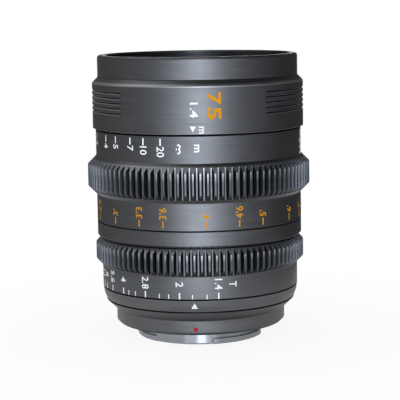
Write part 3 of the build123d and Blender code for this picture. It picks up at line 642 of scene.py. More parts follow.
def screw_thread(wiring, entry):
    """Cuts a screw thread into a turned bore."""
    calc, times = wiring.calc, wiring.times
    radius, height, turn = polar_inputs(wiring)
    above = calc("SUBTRACT", height, entry["Bottom"])
    below = calc("SUBTRACT", entry["Top"], height)
    turns = calc("SUBTRACT", calc("DIVIDE", above, entry["Pitch"]),
                 calc("DIVIDE", turn, math.tau))
    phase = calc("FRACT", calc("ADD", turns, 8.0))
    flank = calc("ABSOLUTE", calc("MULTIPLY_ADD", phase, 2.0, -1.0))
    groove = wiring.spread(flank, 0.12, 0.9, 0.0, 1.0)
    fade = times(calc("DIVIDE", above, entry["Pitch"], clamp=True),
                 calc("DIVIDE", below, times(entry["Pitch"], 0.6), clamp=True))
    off_bore = calc("ABSOLUTE", calc("SUBTRACT", radius, entry["Bore"]))
    return move_outward(wiring, entry, ("LESS_THAN", off_bore, 0.02 * MM),
                        times(groove, fade, entry["Depth"]))


SHAPE_TREES = {
    "Ring array": (ring_array, {
        "Count": (8, "How many shapes"),
        "Start": (0.0, "Turn of the first shape, in radians"),
        "Step": (0.5, "Turn from one shape to the next, in radians")}),
    "Grip grooves": (grip_grooves, {
        "Wall": (0.0375, "Only points outside this radius move"),
        "First": (0.081, "Height of the first groove's rear edge"),
        "Spacing": (0.0018, "From one groove to the next"),
        "Width": (0.0009, "Width at the mouth"),
        "Slope": (0.0003, "Width of a side"),
        "Depth": (0.00035, "Depth of a groove"),
        "Count": (5, "Number of grooves"),
        "Pad": (1.42, "Smooth pad from side to side, in radians"),
        "Run out": (0.025, "Over which a groove rises to the pad, in radians")}),
    "Screw thread": (screw_thread, {
        "Bore": (0.0331, "Radius at the crests"),
        "Bottom": (0.096, "Height where the thread starts"),
        "Top": (0.1009, "Height where it ends"),
        "Pitch": (0.00075, "Rise in one turn"),
        "Depth": (0.00042, "From crest to root")}),
}


# Patterns that several materials use

def turned_lines(wiring, entry):
    """Fine lines that a lathe leaves round the axis, on walls and on faces alike."""
    x, y, z, radius = wiring.split(entry["Position"])
    bare = wiring.calc("MAXIMUM", radius, 0.0001)
    fading = wiring.times(entry["Unevenness"], 8.0)
    across, along = [wiring.times(wiring.calc("DIVIDE", part, bare), fading) for part in (x, y)]
    lines = {}
    for output, factor in (("Fine", 1.0), ("Broad", 0.16)):
        scale = wiring.times(entry["Fineness"], factor)
        spot = wiring.one("ShaderNodeCombineXYZ", {
            "X": wiring.times(radius, scale), "Y": wiring.times(z, scale), "Z": across})
        noise = wiring.one("ShaderNodeTexNoise", {
            "Vector": spot, "W": along, "Scale": 1.0, "Detail": 2.0, "Roughness": 0.6},
            noise_dimensions="4D")
        lines[output] = wiring.spread(noise, 0.3, 0.7, 0.0, 1.0)
    return lines


def handling(wiring, entry):
    """Traces of hands and dust."""
    position = entry["Position"]
    patch = wiring.one("ShaderNodeTexNoise", {
        "Vector": position, "Scale": entry["Smudge size"], "Detail": 5.0, "Roughness": 0.55,
        "Distortion": 0.4})
    grain = wiring.add("ShaderNodeTexVoronoi", {
        "Vector": position, "Scale": entry["Dust size"], "Randomness": 1.0})
    dot = wiring.spread(grain["Distance"], 0.1, 0.22, 1.0, 0.0)
    lit = wiring.one("ShaderNodeSeparateColor", {0: grain["Color"]})
    kept = wiring.calc("LESS_THAN", lit, wiring.times(entry["Dust amount"], 0.4))
    return {"Smudge": wiring.spread(patch, 0.36, 0.66, 0.0, 1.0),
            "Dust": wiring.times(dot, kept),
            "Grain": wiring.one("ShaderNodeTexNoise", {
                "Vector": position, "Scale": 9000.0, "Detail": 1.0})}


def wear_shade_and_highlight(wiring, entry):
    """Where an outer edge has lost its finish, and where the layer asks for painted highlights or
    painted shade.
    """
    corner = wiring.add("ShaderNodeAttribute", attribute_name=WEAR_AND_LIGHT_LAYER)["Fac"]
    patches = wiring.one("ShaderNodeTexNoise", {
        "Vector": entry["Position"], "Scale": entry["Patch size"], "Detail": 4.0,
        "Roughness": 0.65})
    least = wiring.calc("MULTIPLY_ADD", entry["Amount"], -0.5, 0.75)
    worn = wiring.calc("MULTIPLY", wiring.calc("SUBTRACT", patches, least), 5.0, clamp=True)
    return {"Mask": wiring.calc("MULTIPLY", worn, corner, clamp=True),
            # Painted highlight where the layer is above one.
            "Painted highlight": wiring.spread(corner, 1.1, 2.0, 0.0, 1.0),
            # Painted shade where the layer is below zero: this is zero deep in a groove and one
            # elsewhere.
            "Free of painted shade": wiring.spread(corner, -1.0, 0.0, 0.0, 1.0)}


PATTERNS = {
    "Turned lines": (turned_lines, {
        "Position": (None, "Object position"),
        "Fineness": (5200.0, "Lines in a metre"),
        "Unevenness": (0.35, "How much the lines fade along their way"),
    }, {"Fine": (0.0, "Fine lines"), "Broad": (0.0, "Broad bands")}),
    "Handling": (handling, {
        "Position": (None, "Object position"),
        "Smudge size": (60.0, "Smudges in a metre"),
        "Dust size": (2600.0, "Dust grains in a metre"),
        "Dust amount": (0.2, "Share of the grains that show"),
    }, {"Smudge": (0.0, "Greasy patches"), "Dust": (0.0, "Grains of dust"),
        "Grain": (0.0, "Fine grain of the surface")}),
    "Edge wear and painted light": (wear_shade_and_highlight, {
        "Position": (None, "Object position"),
        "Amount": (0.35, "Share of the edges that is worn"),
        "Patch size": (420.0, "Worn patches in a metre"),
    # Outputs: real worn patches, painted highlights on marked corners, and a factor that is zero
    # where painted shade goes.
    }, {"Mask": (0.0, "Worn places"), "Painted highlight": (0.0, "Polished corners"),
        "Free of painted shade": (0.0, "Zero deep in a groove")}),
}


# Materials. A recipe gets the wiring, the object position and the base colour, and returns what
# the Principled shader is fed.

def new_material(name, recipe, *values, **choices):
    material = bpy.data.materials.new(name)
    material.use_nodes = True
    wiring = Wiring(material.node_tree)
    position = wiring.add("ShaderNodeTexCoord")["Object"]
    shader = material.node_tree.nodes["Principled BSDF"]
    wiring.feed(shader.inputs, recipe(wiring, position, *values, **choices))
    return material


def tone(base, factor=1.0):
    return (*[min(1.0, part * factor) for part in base], 1.0)


def metal(wiring, position, base, roughness, metallic=1.0, brushing=0.0, lines=0.5,
          fineness=5200.0, contrast=0.12, wear=0.0, bare=None, deep=None, smudge=0.05,
          dust=0.15, relief=0.12, edge=0.0, upright=False, gloss=0.5):
    """Turned or milled metal: lines round the axis, worn edges, traces of use, and painted shade
    and painted highlights where the layer marks them.
    """
    calc, times, blend = wiring.calc, wiring.times, wiring.blend
    marks = wiring.pattern("Turned lines", {"Position": position, "Fineness": fineness})
    traces = wiring.pattern("Handling", {"Position": position, "Dust amount": dust})
    streak = calc("MULTIPLY_ADD", marks["Broad"], 0.6, times(marks["Fine"], 0.4))
    shade = blend(streak, tone(base, 1 - contrast), tone(base, 1 + contrast))
    if bare:
        worn = wiring.pattern("Edge wear and painted light", {"Position": position, "Amount": wear})
        # Real worn patches and painted highlights both turn to the bare colour.
        most = calc("MAXIMUM", worn["Mask"], worn["Painted highlight"])
        # Painted shade: the colour goes to the deep colour where the layer is below zero, in
        # grooves, seams and between the teeth.
        shade = blend(worn["Free of painted shade"], tone(deep or base), shade)
        shade = blend(most, shade, tone(bare))
    spread = calc("MULTIPLY_ADD", traces["Smudge"], smudge, roughness - smudge * 0.5)
    height = calc("MULTIPLY_ADD", marks["Fine"], lines, times(traces["Grain"], 0.35))
    bump = {"Height": height, "Strength": relief, "Distance": 0.02 * MM}
    if edge:
        bump["Normal"] = wiring.one("ShaderNodeBevel", {"Radius": edge}, samples=4)
    feeds = {"Base Color": blend(times(traces["Dust"], 0.3), shade, (0.42, 0.41, 0.39, 1)),
             "Roughness": calc("MULTIPLY_ADD", marks["Fine"], 0.07 * lines, spread),
             "Metallic": metallic, "Specular IOR Level": gloss,
             "Normal": wiring.one("ShaderNodeBump", bump)}
    if brushing:
        feeds |= {"Anisotropic": brushing, "Anisotropic Rotation": 0.25 if upright else 0.0,
                  "Tangent": wiring.one("ShaderNodeTangent", direction_type="RADIAL", axis="Z")}
    return feeds


def paint(wiring, position, base):
    """Paint in an engraved mark, slightly uneven and matt."""
    traces = wiring.pattern("Handling", {"Position": position, "Smudge size": 700.0,
                                         "Dust amount": 0.3})
    shade = wiring.blend(traces["Smudge"], tone(base, 0.93), tone(base, 1.03))
    return {"Base Color": wiring.blend(wiring.times(traces["Dust"], 0.4), shade,
                                       tone(base, 0.55)),
            "Roughness": wiring.spread(traces["Grain"], 0.2, 0.8, 0.52, 0.68),
            "Specular IOR Level": 0.2,
            "Normal": wiring.one("ShaderNodeBump", {
                "Height": traces["Grain"], "Strength": 0.1, "Distance": 0.01 * MM})}


def coated_glass(wiring, position, base, film):
    """Clear glass with a thin coating, in nanometres, and a little dust."""
    traces = wiring.pattern("Handling", {"Position": position, "Smudge size": 90.0,
                                         "Dust size": 900.0, "Dust amount": 0.08})
    return {"Base Color": wiring.blend(wiring.times(traces["Dust"], 0.25), tone(base),
                                       (0.8, 0.8, 0.78, 1)),
            "Roughness": wiring.calc("MULTIPLY_ADD", traces["Smudge"], 0.012, 0.004),
            "Transmission Weight": 1.0, "IOR": 1.5, "Thin Film Thickness": film,
            "Thin Film IOR": 1.38}


def finish_for(surface):
    """The material of one of the record's slots, or of the filter thread or the teeth."""
    own = settings().finish
    name, recipe, base, choices = {
        "barrel_anodised": ("anodised_barrel", metal, own.metal, dict(
            roughness=own.metal_roughness, brushing=own.brushing, wear=own.wear, bare=own.bare,
            deep=own.gap)),
        "thread": ("thread_metal", metal, own.bore, dict(
            roughness=0.5, brushing=0.9, upright=True, lines=0.3, contrast=0.1)),
        "teeth": ("cut_teeth", metal, own.tooth, dict(
            roughness=own.metal_roughness + 0.08, lines=0.3, contrast=0.08, bare=own.bare,
            deep=own.gap)),
        "inner_black": ("black_anodised", metal, own.black, dict(
            roughness=0.52, metallic=0.0, lines=0.8, contrast=0.2, fineness=3000.0, relief=0.3,
            edge=0.1 * MM)),
        "bayonet_chrome": ("satin_chrome", metal, own.chrome, dict(
            roughness=0.26, brushing=0.9, contrast=0.05, smudge=0.08, upright=True,
            edge=0.1 * MM)),
        "screw_steel": ("machined_steel", metal, own.steel, dict(
            roughness=0.3, contrast=0.1, edge=0.06 * MM)),
        "helicoid_brass": ("greased_brass", metal, own.brass, dict(
            roughness=0.28, contrast=0.08, smudge=0.16, edge=0.06 * MM)),
        "blade_black": ("blackened_blade", metal, own.blade, dict(
            roughness=0.4, contrast=0.25, brushing=0.3, fineness=2400.0, edge=0.03 * MM)),
        "washer_plastic": ("black_plastic", metal, own.plastic, dict(
            roughness=0.7, metallic=0.0, dust=0.05, relief=0.2, gloss=0.05)),
        "optical_glass": ("coated_glass", coated_glass, own.glass, dict(film=300.0)),
        "mark_white": ("white_paint", paint, own.white, {}),
        "mark_orange": ("orange_paint", paint, own.orange, {}),
        "mark_red": ("red_paint", paint, own.red, {}),
    }[surface]
    return bpy.data.materials.get(name) or new_material(name, recipe, base, **choices)


# Painted marks

def flat_number(text, height, width, weight):
    """Triangles of a centred number, its figures of the given height, and its width."""
    curve = bpy.data.curves.new("number", "FONT")
    curve.body = text
    curve.size = 1.0
    curve.offset = weight
    curve.resolution_u = 3
    holder = new_object("number", curve)
    mesh = final_mesh(holder)
    bpy.data.objects.remove(holder)
    bpy.data.curves.remove(curve)
    points = [corner.co.copy() for corner in mesh.vertices]
    faces = [tuple(face.vertices) for face in mesh.polygons]
    if sum(face.normal.z for face in mesh.polygons) < 0:
        faces = [tuple(reversed(face)) for face in faces]
    bpy.data.meshes.remove(mesh)
    low, high = min(p.x for p in points), max(p.x for p in points)
    scale = height / FONT_FIGURE
    middle = (low + high) / 2
    placed = [((p.x - middle) * scale * width, (p.y - FONT_FIGURE / 2) * scale) for p in points]
    return placed, faces, (high - low) * scale * width


def flat_shape(*corners):
    """One face from corners that go counter-clockwise."""
    return list(corners), [tuple(range(len(corners)))]


def oblong(width, height):
    return flat_shape((-width / 2, -height / 2), (width / 2, -height / 2),
                      (width / 2, height / 2), (-width / 2, height / 2))


class Dial:
    """Marks of one paint, wrapped round a barrel and kept together as one mesh."""

    def __init__(self, radius, profile=()):
        """The profile holds (height, radius) points where the barrel isn't straight."""
        self.radius = radius
        self.profile = profile
        self.vertices = []
        self.faces = []

    def wall(self, height):
        """Radius of the barrel at a height."""
        for (low, inner), (high, outer) in zip(self.profile, self.profile[1:]):
            if low <= height <= high:
                return inner + (outer - inner) * (height - low) / (high - low)
        return self.radius

    def wrap(self, shape, degrees, height):
        """Bends a flat shape round the barrel, centred at an angle and a height."""
        dial = settings().dial
        at = math.radians(degrees)
        flat = bmesh.new()
        corners = [flat.verts.new((*point, 0)) for point in shape[0]]
        for face in shape[1]:
            flat.faces.new([corners[number] for number in face])
        bmesh.ops.remove_doubles(flat, verts=flat.verts[:], dist=1e-7)
        for _ in range(4):
            bmesh.ops.triangulate(flat, faces=flat.faces[:])
            long = [edge for edge in flat.edges
                    if abs(edge.verts[0].co.x - edge.verts[1].co.x) > LONGEST_PAINT
                    or self.profile and edge.calc_length() > LONGEST_PAINT]
            if not long:
                break
            bmesh.ops.subdivide_edges(flat, edges=long, cuts=1)
        bmesh.ops.triangulate(flat, faces=flat.faces[:])
        flat.verts.index_update()
        first = len(self.vertices)
        total = len(flat.verts)
        for lift in (dial.lift, -dial.root):
            for corner in flat.verts:
                turn = INDEX_SIDE + at + corner.co.x / self.radius
                radius = self.wall(height + corner.co.y) + lift
                self.vertices.append((radius * math.cos(turn), radius * math.sin(turn),
                                      height + corner.co.y))
        for face in flat.faces:
            numbers = [first + corner.index for corner in face.verts]
            self.faces.append(tuple(numbers))
            self.faces.append(tuple(total + number for number in reversed(numbers)))
        for edge in flat.edges:
            if len(edge.link_faces) == 1:
                loop = edge.link_loops[0]
                start = first + loop.vert.index
                end = first + loop.link_loop_next.vert.index
                self.faces.append((start + total, end + total, end, start))
        flat.free()

    def write(self, text, degrees, height, size=None, width=None, weight=1.0, turn=-1,
              beside=False):
        """Wraps a number that lies along the axis, turned by a quarter to either side.

        The height is that of its middle, or of its nearer end if it stands beside a tick."""
        dial = settings().dial
        points, faces, run = flat_number(text, size or dial.figure, width or dial.figure_width,
                                         dial.weight * weight)
        quarter = Matrix.Rotation(turn * math.pi / 2, 2)
        self.wrap(([tuple(quarter @ Vector(point)) for point in points], faces), degrees,
                  height + (turn * run / 2 if beside else 0))

    def piece(self, name, slot, body):
        piece = place(name, new_mesh(name, self.vertices, self.faces), finish_for(slot))
        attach(piece, body)


# Operators, one for each piece or group of like pieces

class LENS_OT_front_rim(Operator):
    """Front rim with its filter thread"""
    bl_idname = "prime_lens.front_rim"
    bl_label = "Front rim"

    def execute(self, context):
        rim = settings().rim
        bottom, top, radius = reach("front_rim")
        joint = reach("front_barrel")[1]
        spigot = reach("front_cell")[2]
        bore = radius - rim.wall
        relief = bore + rim.relief
        thread_bottom = top - rim.thread_length
        thread_run = rim.thread_length - rim.entry * 1.1
        rows = 66
        thread = [(bore, thread_bottom + thread_run * (1 - row / rows), 0)
                  for row in range(rows + 1)]
        outline = [(relief, bottom), (spigot, bottom), (spigot, joint, 0),
                   (radius, joint, 0.25 * MM), (radius, top, rim.rounding),
                   (bore + rim.entry, top, 0.1 * MM), *thread, (relief, thread_bottom, 0)]
        piece = turned("front_rim", outline, steps=5)
        grow(piece, "Screw thread", {
            "Bore": bore, "Bottom": thread_bottom, "Top": top - rim.entry,
            "Pitch": rim.thread_pitch, "Depth": rim.thread_depth,
            "Material": finish_for("barrel_anodised")})
        piece.data.materials.append(finish_for("thread"))
        for face in piece.data.polygons:
            if math.hypot(*face.center[:2]) < bore + rim.entry + rim.relief:
                face.material_index = 1
        settle(piece, "barrel", "front_rim")
        return {"FINISHED"}


class LENS_OT_front_barrel(Operator):
    """Front barrel with its grip grooves"""
    bl_idname = "prime_lens.front_barrel"
    bl_label = "Front barrel"

    def execute(self, context):
        grip = settings().grip
        low, top, radius = reach("front_barrel")
        _, bottom, washer = reach("focus_washer_front")
        rim = reach("front_rim")[2]
        land = washer - LAND_INSET
        bore = land - 1.2 * MM
        wall = radius - 2.2 * MM
        shoulder = bottom + 3 * MM
        first = bottom + grip.first
        rows = []
        for groove in range(grip.grooves):
            start = first + grip.spacing * groove
            for inset in (0.0, grip.slope, grip.slope + FINE_EDGE, -FINE_EDGE):
                rows += [start + inset, start + grip.width - inset]
        side = [(radius, height, 0) for height in sorted(rows)]
        outline = [(bore, low), (land, low), (land, bottom, 0), (radius, bottom), *side,
                   (radius, top - grip.chamfer, 0.6 * MM), (rim, top, 0.05 * MM),
                   (wall, top, 0), (wall, shoulder), (bore, shoulder)]
        ends = [sign * (grip.pad / 2 + grip.run_out * part)
                for sign in (-1, 1) for part in (-0.15, 0, 0.35, 0.7, 1, 1.15)]
        piece = turned("front_barrel", outline, angles=turn_steps(ends))
        grow(piece, "Grip grooves", {
            "Wall": radius - 0.3 * MM, "First": first, "Spacing": grip.spacing,
            "Width": grip.width, "Slope": grip.slope, "Depth": grip.depth,
            "Count": grip.grooves, "Pad": grip.pad, "Run out": grip.run_out,
            "Material": finish_for("barrel_anodised")})
        settle(piece, "barrel", "front_barrel")
        groove_end = first + grip.grooves * grip.spacing - 0.3 * MM

        def shade(at, level, turn):
            """Painted highlights on the lips of the grooves and on the barrel's edges, and
            painted shade on the groove bottoms.
            """
            into = (level - first + 0.01 * MM) % grip.spacing
            outer = at > radius - 0.1 * MM
            if first - 0.1 * MM < level < groove_end:
                if into < 0.02 * MM and outer and abs(turn) > ends[-2]:
                    return 2
                if 0.5 * grip.depth < radius - at < 2 * grip.depth:
                    return -1 if into > grip.slope + 0.04 * MM else 2
            if abs(level - top + grip.chamfer) < 0.25 * MM and at > radius - MM:
                return 2
            if level < bottom + 0.1 * MM and outer:
                return 1.8

        mark_where(piece.data, shade)
        return {"FINISHED"}


def tooth(name, gear, tip, heights):
    """One gear tooth at the index, its ends cut by the ring's chamfers.

    heights are where the tips start and end, and each end slopes down at 45 degrees."""
    start, end = heights
    depth = TOOTH_DEPTH * gear.module
    root = tip - depth
    sink, lip = 0.05 * MM, 0.09 * MM
    slope = math.tan(gear.flank)
    tip_half = math.pi * gear.module / 4 - gear.module * slope
    root_half = tip_half + depth * slope
    half = [(root_half + sink * slope, root - sink, 0), (tip_half, tip, 0.11 * MM)]
    profile = round_corners(half + [(-w, r, own) for w, r, own in reversed(half)], 0,
                            guard=FINE_EDGE)
    rows = [[(w, r, start - (tip - r) + lift) for w, r in profile] for lift in (0, lip)]
    rows += [[(w, r, end + (tip - r) - lift) for w, r in profile] for lift in (lip, 0)]
    vertices = []
    for w, r, height in sum(rows, []):
        turn = INDEX_SIDE + w / r
        vertices.append((r * math.cos(turn), r * math.sin(turn), height))
    size = len(profile)
    faces = [tuple(range(size)), tuple(reversed(range(3 * size, 4 * size)))]
    for row in range(3):
        for corner in range(size):
            after = (corner + 1) % size
            faces.append((row * size + corner, (row + 1) * size + corner,
                          (row + 1) * size + after, row * size + after))
    mesh = new_mesh(name, vertices, faces)
    shape = bmesh.new()
    shape.from_mesh(mesh)
    bmesh.ops.recalc_face_normals(shape, faces=shape.faces[:])
    shape.to_mesh(mesh)
    shape.free()

    def shade(radius, level, turn):
        """A painted highlight on the front end, and painted shade on the sides that deepens
        towards the root.
        """
        at_tip = radius > tip - 0.12 * MM
        if level > end + (tip - radius) - 0.02 * MM:
            return 1.9 if at_tip else 1.65
        if level > end - 0.12 * MM and at_tip:
            return 1.9
        return -min(1, max(0, 0.97 - (radius - root) / (tip - root)) / 0.5)

    mark_where(mesh, shade)
    return mesh


def gear_teeth(name, ring, gear):
    """All teeth of one ring as one piece, which moves with the ring."""
    bottom, _, tip = reach(ring)
    start = bottom + gear.rear_scale + gear.step
    mesh = tooth(name, gear, tip, (start, start + gear.face))
    smooth(mesh)
    piece = place(name, mesh, finish_for("teeth"))
    copy_round(piece, gear.teeth, 0.0, finish_for("teeth"))
    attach(piece, ring)


def screw_azimuths(node):
    """Angles, from +X, of the separate small solids of a node."""
    turns = sorted(math.atan2(v.co.y, v.co.x) for v in frame["nodes"][node].data.vertices)
    groups = [[turns[0]]]
    for turn in turns[1:]:
        if turn - groups[-1][-1] > SCREW_GAP:
            groups.append([])
        groups[-1].append(turn)
    if len(groups) > 1 and groups[0][0] + math.tau - groups[-1][-1] < SCREW_GAP:
        groups[0] = [turn - math.tau for turn in groups.pop()] + groups[0]
    return [(group[0] + group[-1]) / 2 for group in groups]


class LENS_OT_focus_ring(Operator):
    """Focus ring with its two scale barrels"""
    bl_idname = "prime_lens.focus_ring"
    bl_label = "Focus ring"

    def execute(self, context):
        gear = settings().focus
        bottom, top, tip = reach("focus_ring")
        barrel = tip - gear.step
        root = tip - TOOTH_DEPTH * gear.module
        rise = root - barrel
        chamfer = bottom + gear.rear_scale
        upper = chamfer + 2 * gear.step + gear.face
        outline = [(gear.bore, bottom), (barrel, bottom), (barrel, chamfer, FINE_EDGE),
                   (root, chamfer + rise, FINE_EDGE), (root, upper - rise, FINE_EDGE),
                   (barrel, upper, FINE_EDGE), (barrel, top), (gear.bore, top)]
        piece = turned("focus_ring", outline)
        low, high, _ = reach("cam_screws")
        inside, outside = 34.5 * MM, 41 * MM
        shank, mouth = 1.03 * MM, 1.15 * MM
        holes = []
        for azimuth in screw_azimuths("cam_screws"):
            hole = spin("screw_hole", [(0, inside), (shank, inside), (shank, barrel - 0.12 * MM),
                                       (mouth, barrel + 0.01 * MM), (mouth, outside),
                                       (0, outside)], even_turns(32))
            hole.transform(Matrix.Translation((0, 0, (low + high) / 2))
                           @ Matrix.Rotation(azimuth, 4, "Z")
                           @ Matrix.Rotation(math.pi / 2, 4, "Y"))
            holes.append(hole)
        cut(piece, holes)
        settle(piece, "focus_ring", "focus_ring")

        def shade(at, level, turn):
            """A painted highlight on the slope in front of the teeth."""
            if barrel < at - 0.1 * MM < root and level > upper - rise - 0.1 * MM:
                return 1.8

        mark_where(piece.data, shade)
        return {"FINISHED"}


class LENS_OT_focus_teeth(Operator):
    """Teeth of the focus ring"""
    bl_idname = "prime_lens.focus_teeth"
    bl_label = "Focus teeth"

    def execute(self, context):
        gear_teeth("focus_teeth", "focus_ring", settings().focus)
        return {"FINISHED"}


class LENS_OT_middle_barrel(Operator):
    """Fixed barrel between the geared rings"""
    bl_idname = "prime_lens.middle_barrel"
    bl_label = "Middle barrel"

    def execute(self, context):
        bottom, land_top, radius = reach("middle_barrel")
        top, _, washer = reach("focus_washer_rear")
        land = washer - LAND_INSET
        chamfer = 0.7 * MM
        bore = radius - 2.9 * MM
        outline = [(bore, bottom), (radius - chamfer, bottom), (radius, bottom + chamfer),
                   (radius, top), (land, top, 0), (land, land_top), (bore, land_top)]
        settle(turned("middle_barrel", outline), "barrel", "middle_barrel")
        return {"FINISHED"}


class LENS_OT_iris_ring(Operator):
    """Iris ring with its scale barrel"""
    bl_idname = "prime_lens.iris_ring"
    bl_label = "Iris ring"

    def execute(self, context):
        gear = settings().iris
        bottom, top, tip = reach("iris_ring")
        barrel = tip - gear.step
        root = tip - TOOTH_DEPTH * gear.module
        lip = tip - gear.front_step
        chamfer = bottom + gear.rear_scale
        teeth_end = chamfer + gear.step + gear.face
        outline = [(gear.bore, bottom), (barrel, bottom), (barrel, chamfer, FINE_EDGE),
                   (root, chamfer + root - barrel, FINE_EDGE),
                   (root, teeth_end + tip - root, 0.04 * MM),
                   (lip, teeth_end + gear.front_step, FINE_EDGE), (lip, top, 0.08 * MM),
                   (gear.bore, top)]
        settle(turned("iris_ring", outline), "iris_ring", "iris_ring")
        return {"FINISHED"}


class LENS_OT_iris_teeth(Operator):
    """Teeth of the iris ring"""
    bl_idname = "prime_lens.iris_teeth"
    bl_label = "Iris teeth"

    def execute(self, context):
        gear_teeth("iris_teeth", "iris_ring", settings().iris)
        return {"FINISHED"}


def rear_cone():
    """(height, radius) of the index ring's wall at its seam, half way up and at its top."""
    base, top, radius = reach("iris_index_ring")
    cone = reach("mount_base")[2]
    bottom = base + settings().mount.seam
    return ((bottom, cone), ((bottom + top) / 2, cone + (radius - cone) * CONE_BULGE),
            (top, radius))


class LENS_OT_index_ring(Operator):
    """Rear ring that carries the iris index"""
    bl_idname = "prime_lens.index_ring"
    bl_label = "Index ring"

    def execute(self, context):
        (bottom, cone), (half_way, bulge), (top, radius) = rear_cone()
        base = reach("iris_index_ring")[0]
        groove = cone - settings().mount.seam_depth
        inner = radius - 4 * MM
        outline = [(inner, base, 0), (groove, base, 0), (groove, bottom, 0), (cone, bottom),
                   (bulge, half_way, 2 * MM), (radius, top), (inner, top)]
        piece = turned("index_ring", outline, steps=5)
        settle(piece, "barrel", "iris_index_ring")

        def shade(at, level, turn):
            """Painted shade in the seam."""
            if level < bottom + 0.02 * MM and at < cone - 0.3 * MM:
                return -1

        mark_where(piece.data, shade)
        return {"FINISHED"}


class LENS_OT_mount_base(Operator):
    """Tapered base round the bayonet"""
    bl_idname = "prime_lens.mount_base"
    bl_label = "Mount base"

    def execute(self, context):
        mount = settings().mount
        bottom, top, cone = reach("mount_base")
        inner = mount.plate + 0.03 * MM
        taper = bottom + mount.base_chamfer + mount.base_straight
        outline = [(inner, bottom), (mount.base - mount.base_chamfer, bottom),
                   (mount.base, bottom + mount.base_chamfer, 0.3 * MM),
                   (mount.base, taper, 0.35 * MM), (cone, top, 0.1 * MM),
                   (cone - 0.3 * MM, top, 0), (cone - 4 * MM, top), (cone - 4 * MM, top - 2 * MM),
                   (inner, top - 4 * MM)]
        piece = turned("mount_base", outline)
        settle(piece, "barrel", "mount_base")

        def shade(at, level, turn):
            """Painted shade on the rear face, and on the floor of the seam in front."""
            if level < bottom + 0.2 * MM or level > top - 0.02 * MM and at < cone - 0.2 * MM:
                return -1

        mark_where(piece.data, shade)
        return {"FINISHED"}


class LENS_OT_bayonet(Operator):
    """Bayonet with its lugs, flange plate and holes"""
    bl_idname = "prime_lens.bayonet"
    bl_label = "Bayonet"

    def execute(self, context):
        mount = settings().mount
        top = reach("bayonet_mount")[1]
        plate_top = mount.flange + mount.plate_height
        chamfer = 0.5 * MM
        height = mount.lug_height
        lugs = [(math.radians(start), math.radians(start) + mount.lug_span)
                for start in LUG_STARTS]
        wall = (mount.stiffener_start, mount.stiffener_end)
        sides = [at + beside for ends in lugs + [wall] for at in ends
                 for beside in (-0.004, 0.004)]
        neck = [(mount.neck, level, 0)
                for level in (height - 0.12 * MM, height, height + 0.02 * MM,
                              mount.flange - 0.02 * MM, mount.flange)]
        outline = [(mount.bore, 0, 0.35 * MM), (mount.neck - chamfer, 0, 0.12 * MM),
                   (mount.neck, chamfer, 0.12 * MM), *neck, (mount.plate, mount.flange),
                   (mount.plate, plate_top), (mount.spigot, plate_top), (mount.spigot, top),
                   (mount.bore, top)]
        piece = turned("bayonet", outline, "bayonet_chrome", turn_steps(sides))
        for corner in piece.data.vertices:
            x, y, z = corner.co
            radius = math.hypot(x, y)
            if (radius < mount.neck - chamfer * 1.2 or radius > mount.neck + 0.01 * MM
                    or z > mount.flange - 0.01 * MM):
                continue
            grown = mount.neck
            for start, end in lugs + [wall]:
                at = math.atan2(x, -y) - (start + end) / 2
                if abs((at + math.pi) % math.tau - math.pi) < (end - start) / 2:
                    if (start, end) == wall:
                        grown = max(grown, mount.stiffener)
                    elif z < height + 0.01 * MM:
                        grown = mount.lug
            corner.co.x *= (radius + grown - mount.neck) / radius
            corner.co.y *= (radius + grown - mount.neck) / radius
        holes = [self.hole(mount, at, mount.screw_head + 0.05 * MM, countersunk=True)
                 for at in screw_azimuths("mount_screws")]
        holes.append(self.hole(mount, INDEX_SIDE + mount.lock_azimuth, mount.lock_hole,
                               countersunk=False))
        cut(piece, holes)
        settle(piece, "barrel", "bayonet_mount")
        return {"FINISHED"}

    def hole(self, mount, at, radius, countersunk):
        """What one hole takes out of the plate, with a broken edge at its mouth."""
        face = mount.flange
        rear, front = face - 2 * MM, face + 6 * MM
        shank = 0.98 * MM if countersunk else radius
        sink = radius - shank if countersunk else 0.15 * MM
        mouth = shank + sink
        shape = spin("plate_hole", [(0, rear), (mouth, rear), (mouth, face),
                                    (shank, face + sink), (shank, front), (0, front)],
                     even_turns(40))
        shape.transform(Matrix.Translation((mount.screw_circle * math.cos(at),
                                            mount.screw_circle * math.sin(at), 0)))
        return shape


class LENS_OT_mount_screws(Operator):
    """Countersunk screws of the flange plate"""
    bl_idname = "prime_lens.mount_screws"
    bl_label = "Mount screws"

    def execute(self, context):
        mount = settings().mount
        low, high, _ = reach("mount_screws")
        head, shank = mount.screw_head, 0.95 * MM
        outline = [(0, low), (head, low, 0.08 * MM), (shank, low + head - shank, 0.05 * MM),
                   (shank, high, 0.2 * MM), (0, high)]
        screw = turned("mount_screws", outline, "screw_steel", even_turns(48))
        mouth, across = 0.98 * MM, 0.875 * MM
        socket = [(0, low - MM), (mouth, low - MM), (mouth, low), (across, low + 0.1 * MM),
                  (across, low + 0.62 * MM), (0, low + 0.8 * MM)]
        cut(screw, [spin("socket", socket, even_turns(6))])
        screw.data.transform(Matrix.Translation((mount.screw_circle, 0, 0)))
        azimuths = screw_azimuths("mount_screws")
        copy_round(screw, len(azimuths), azimuths[0], finish_for("screw_steel"))
        settle(screw, "barrel", "mount_screws")
        return {"FINISHED"}


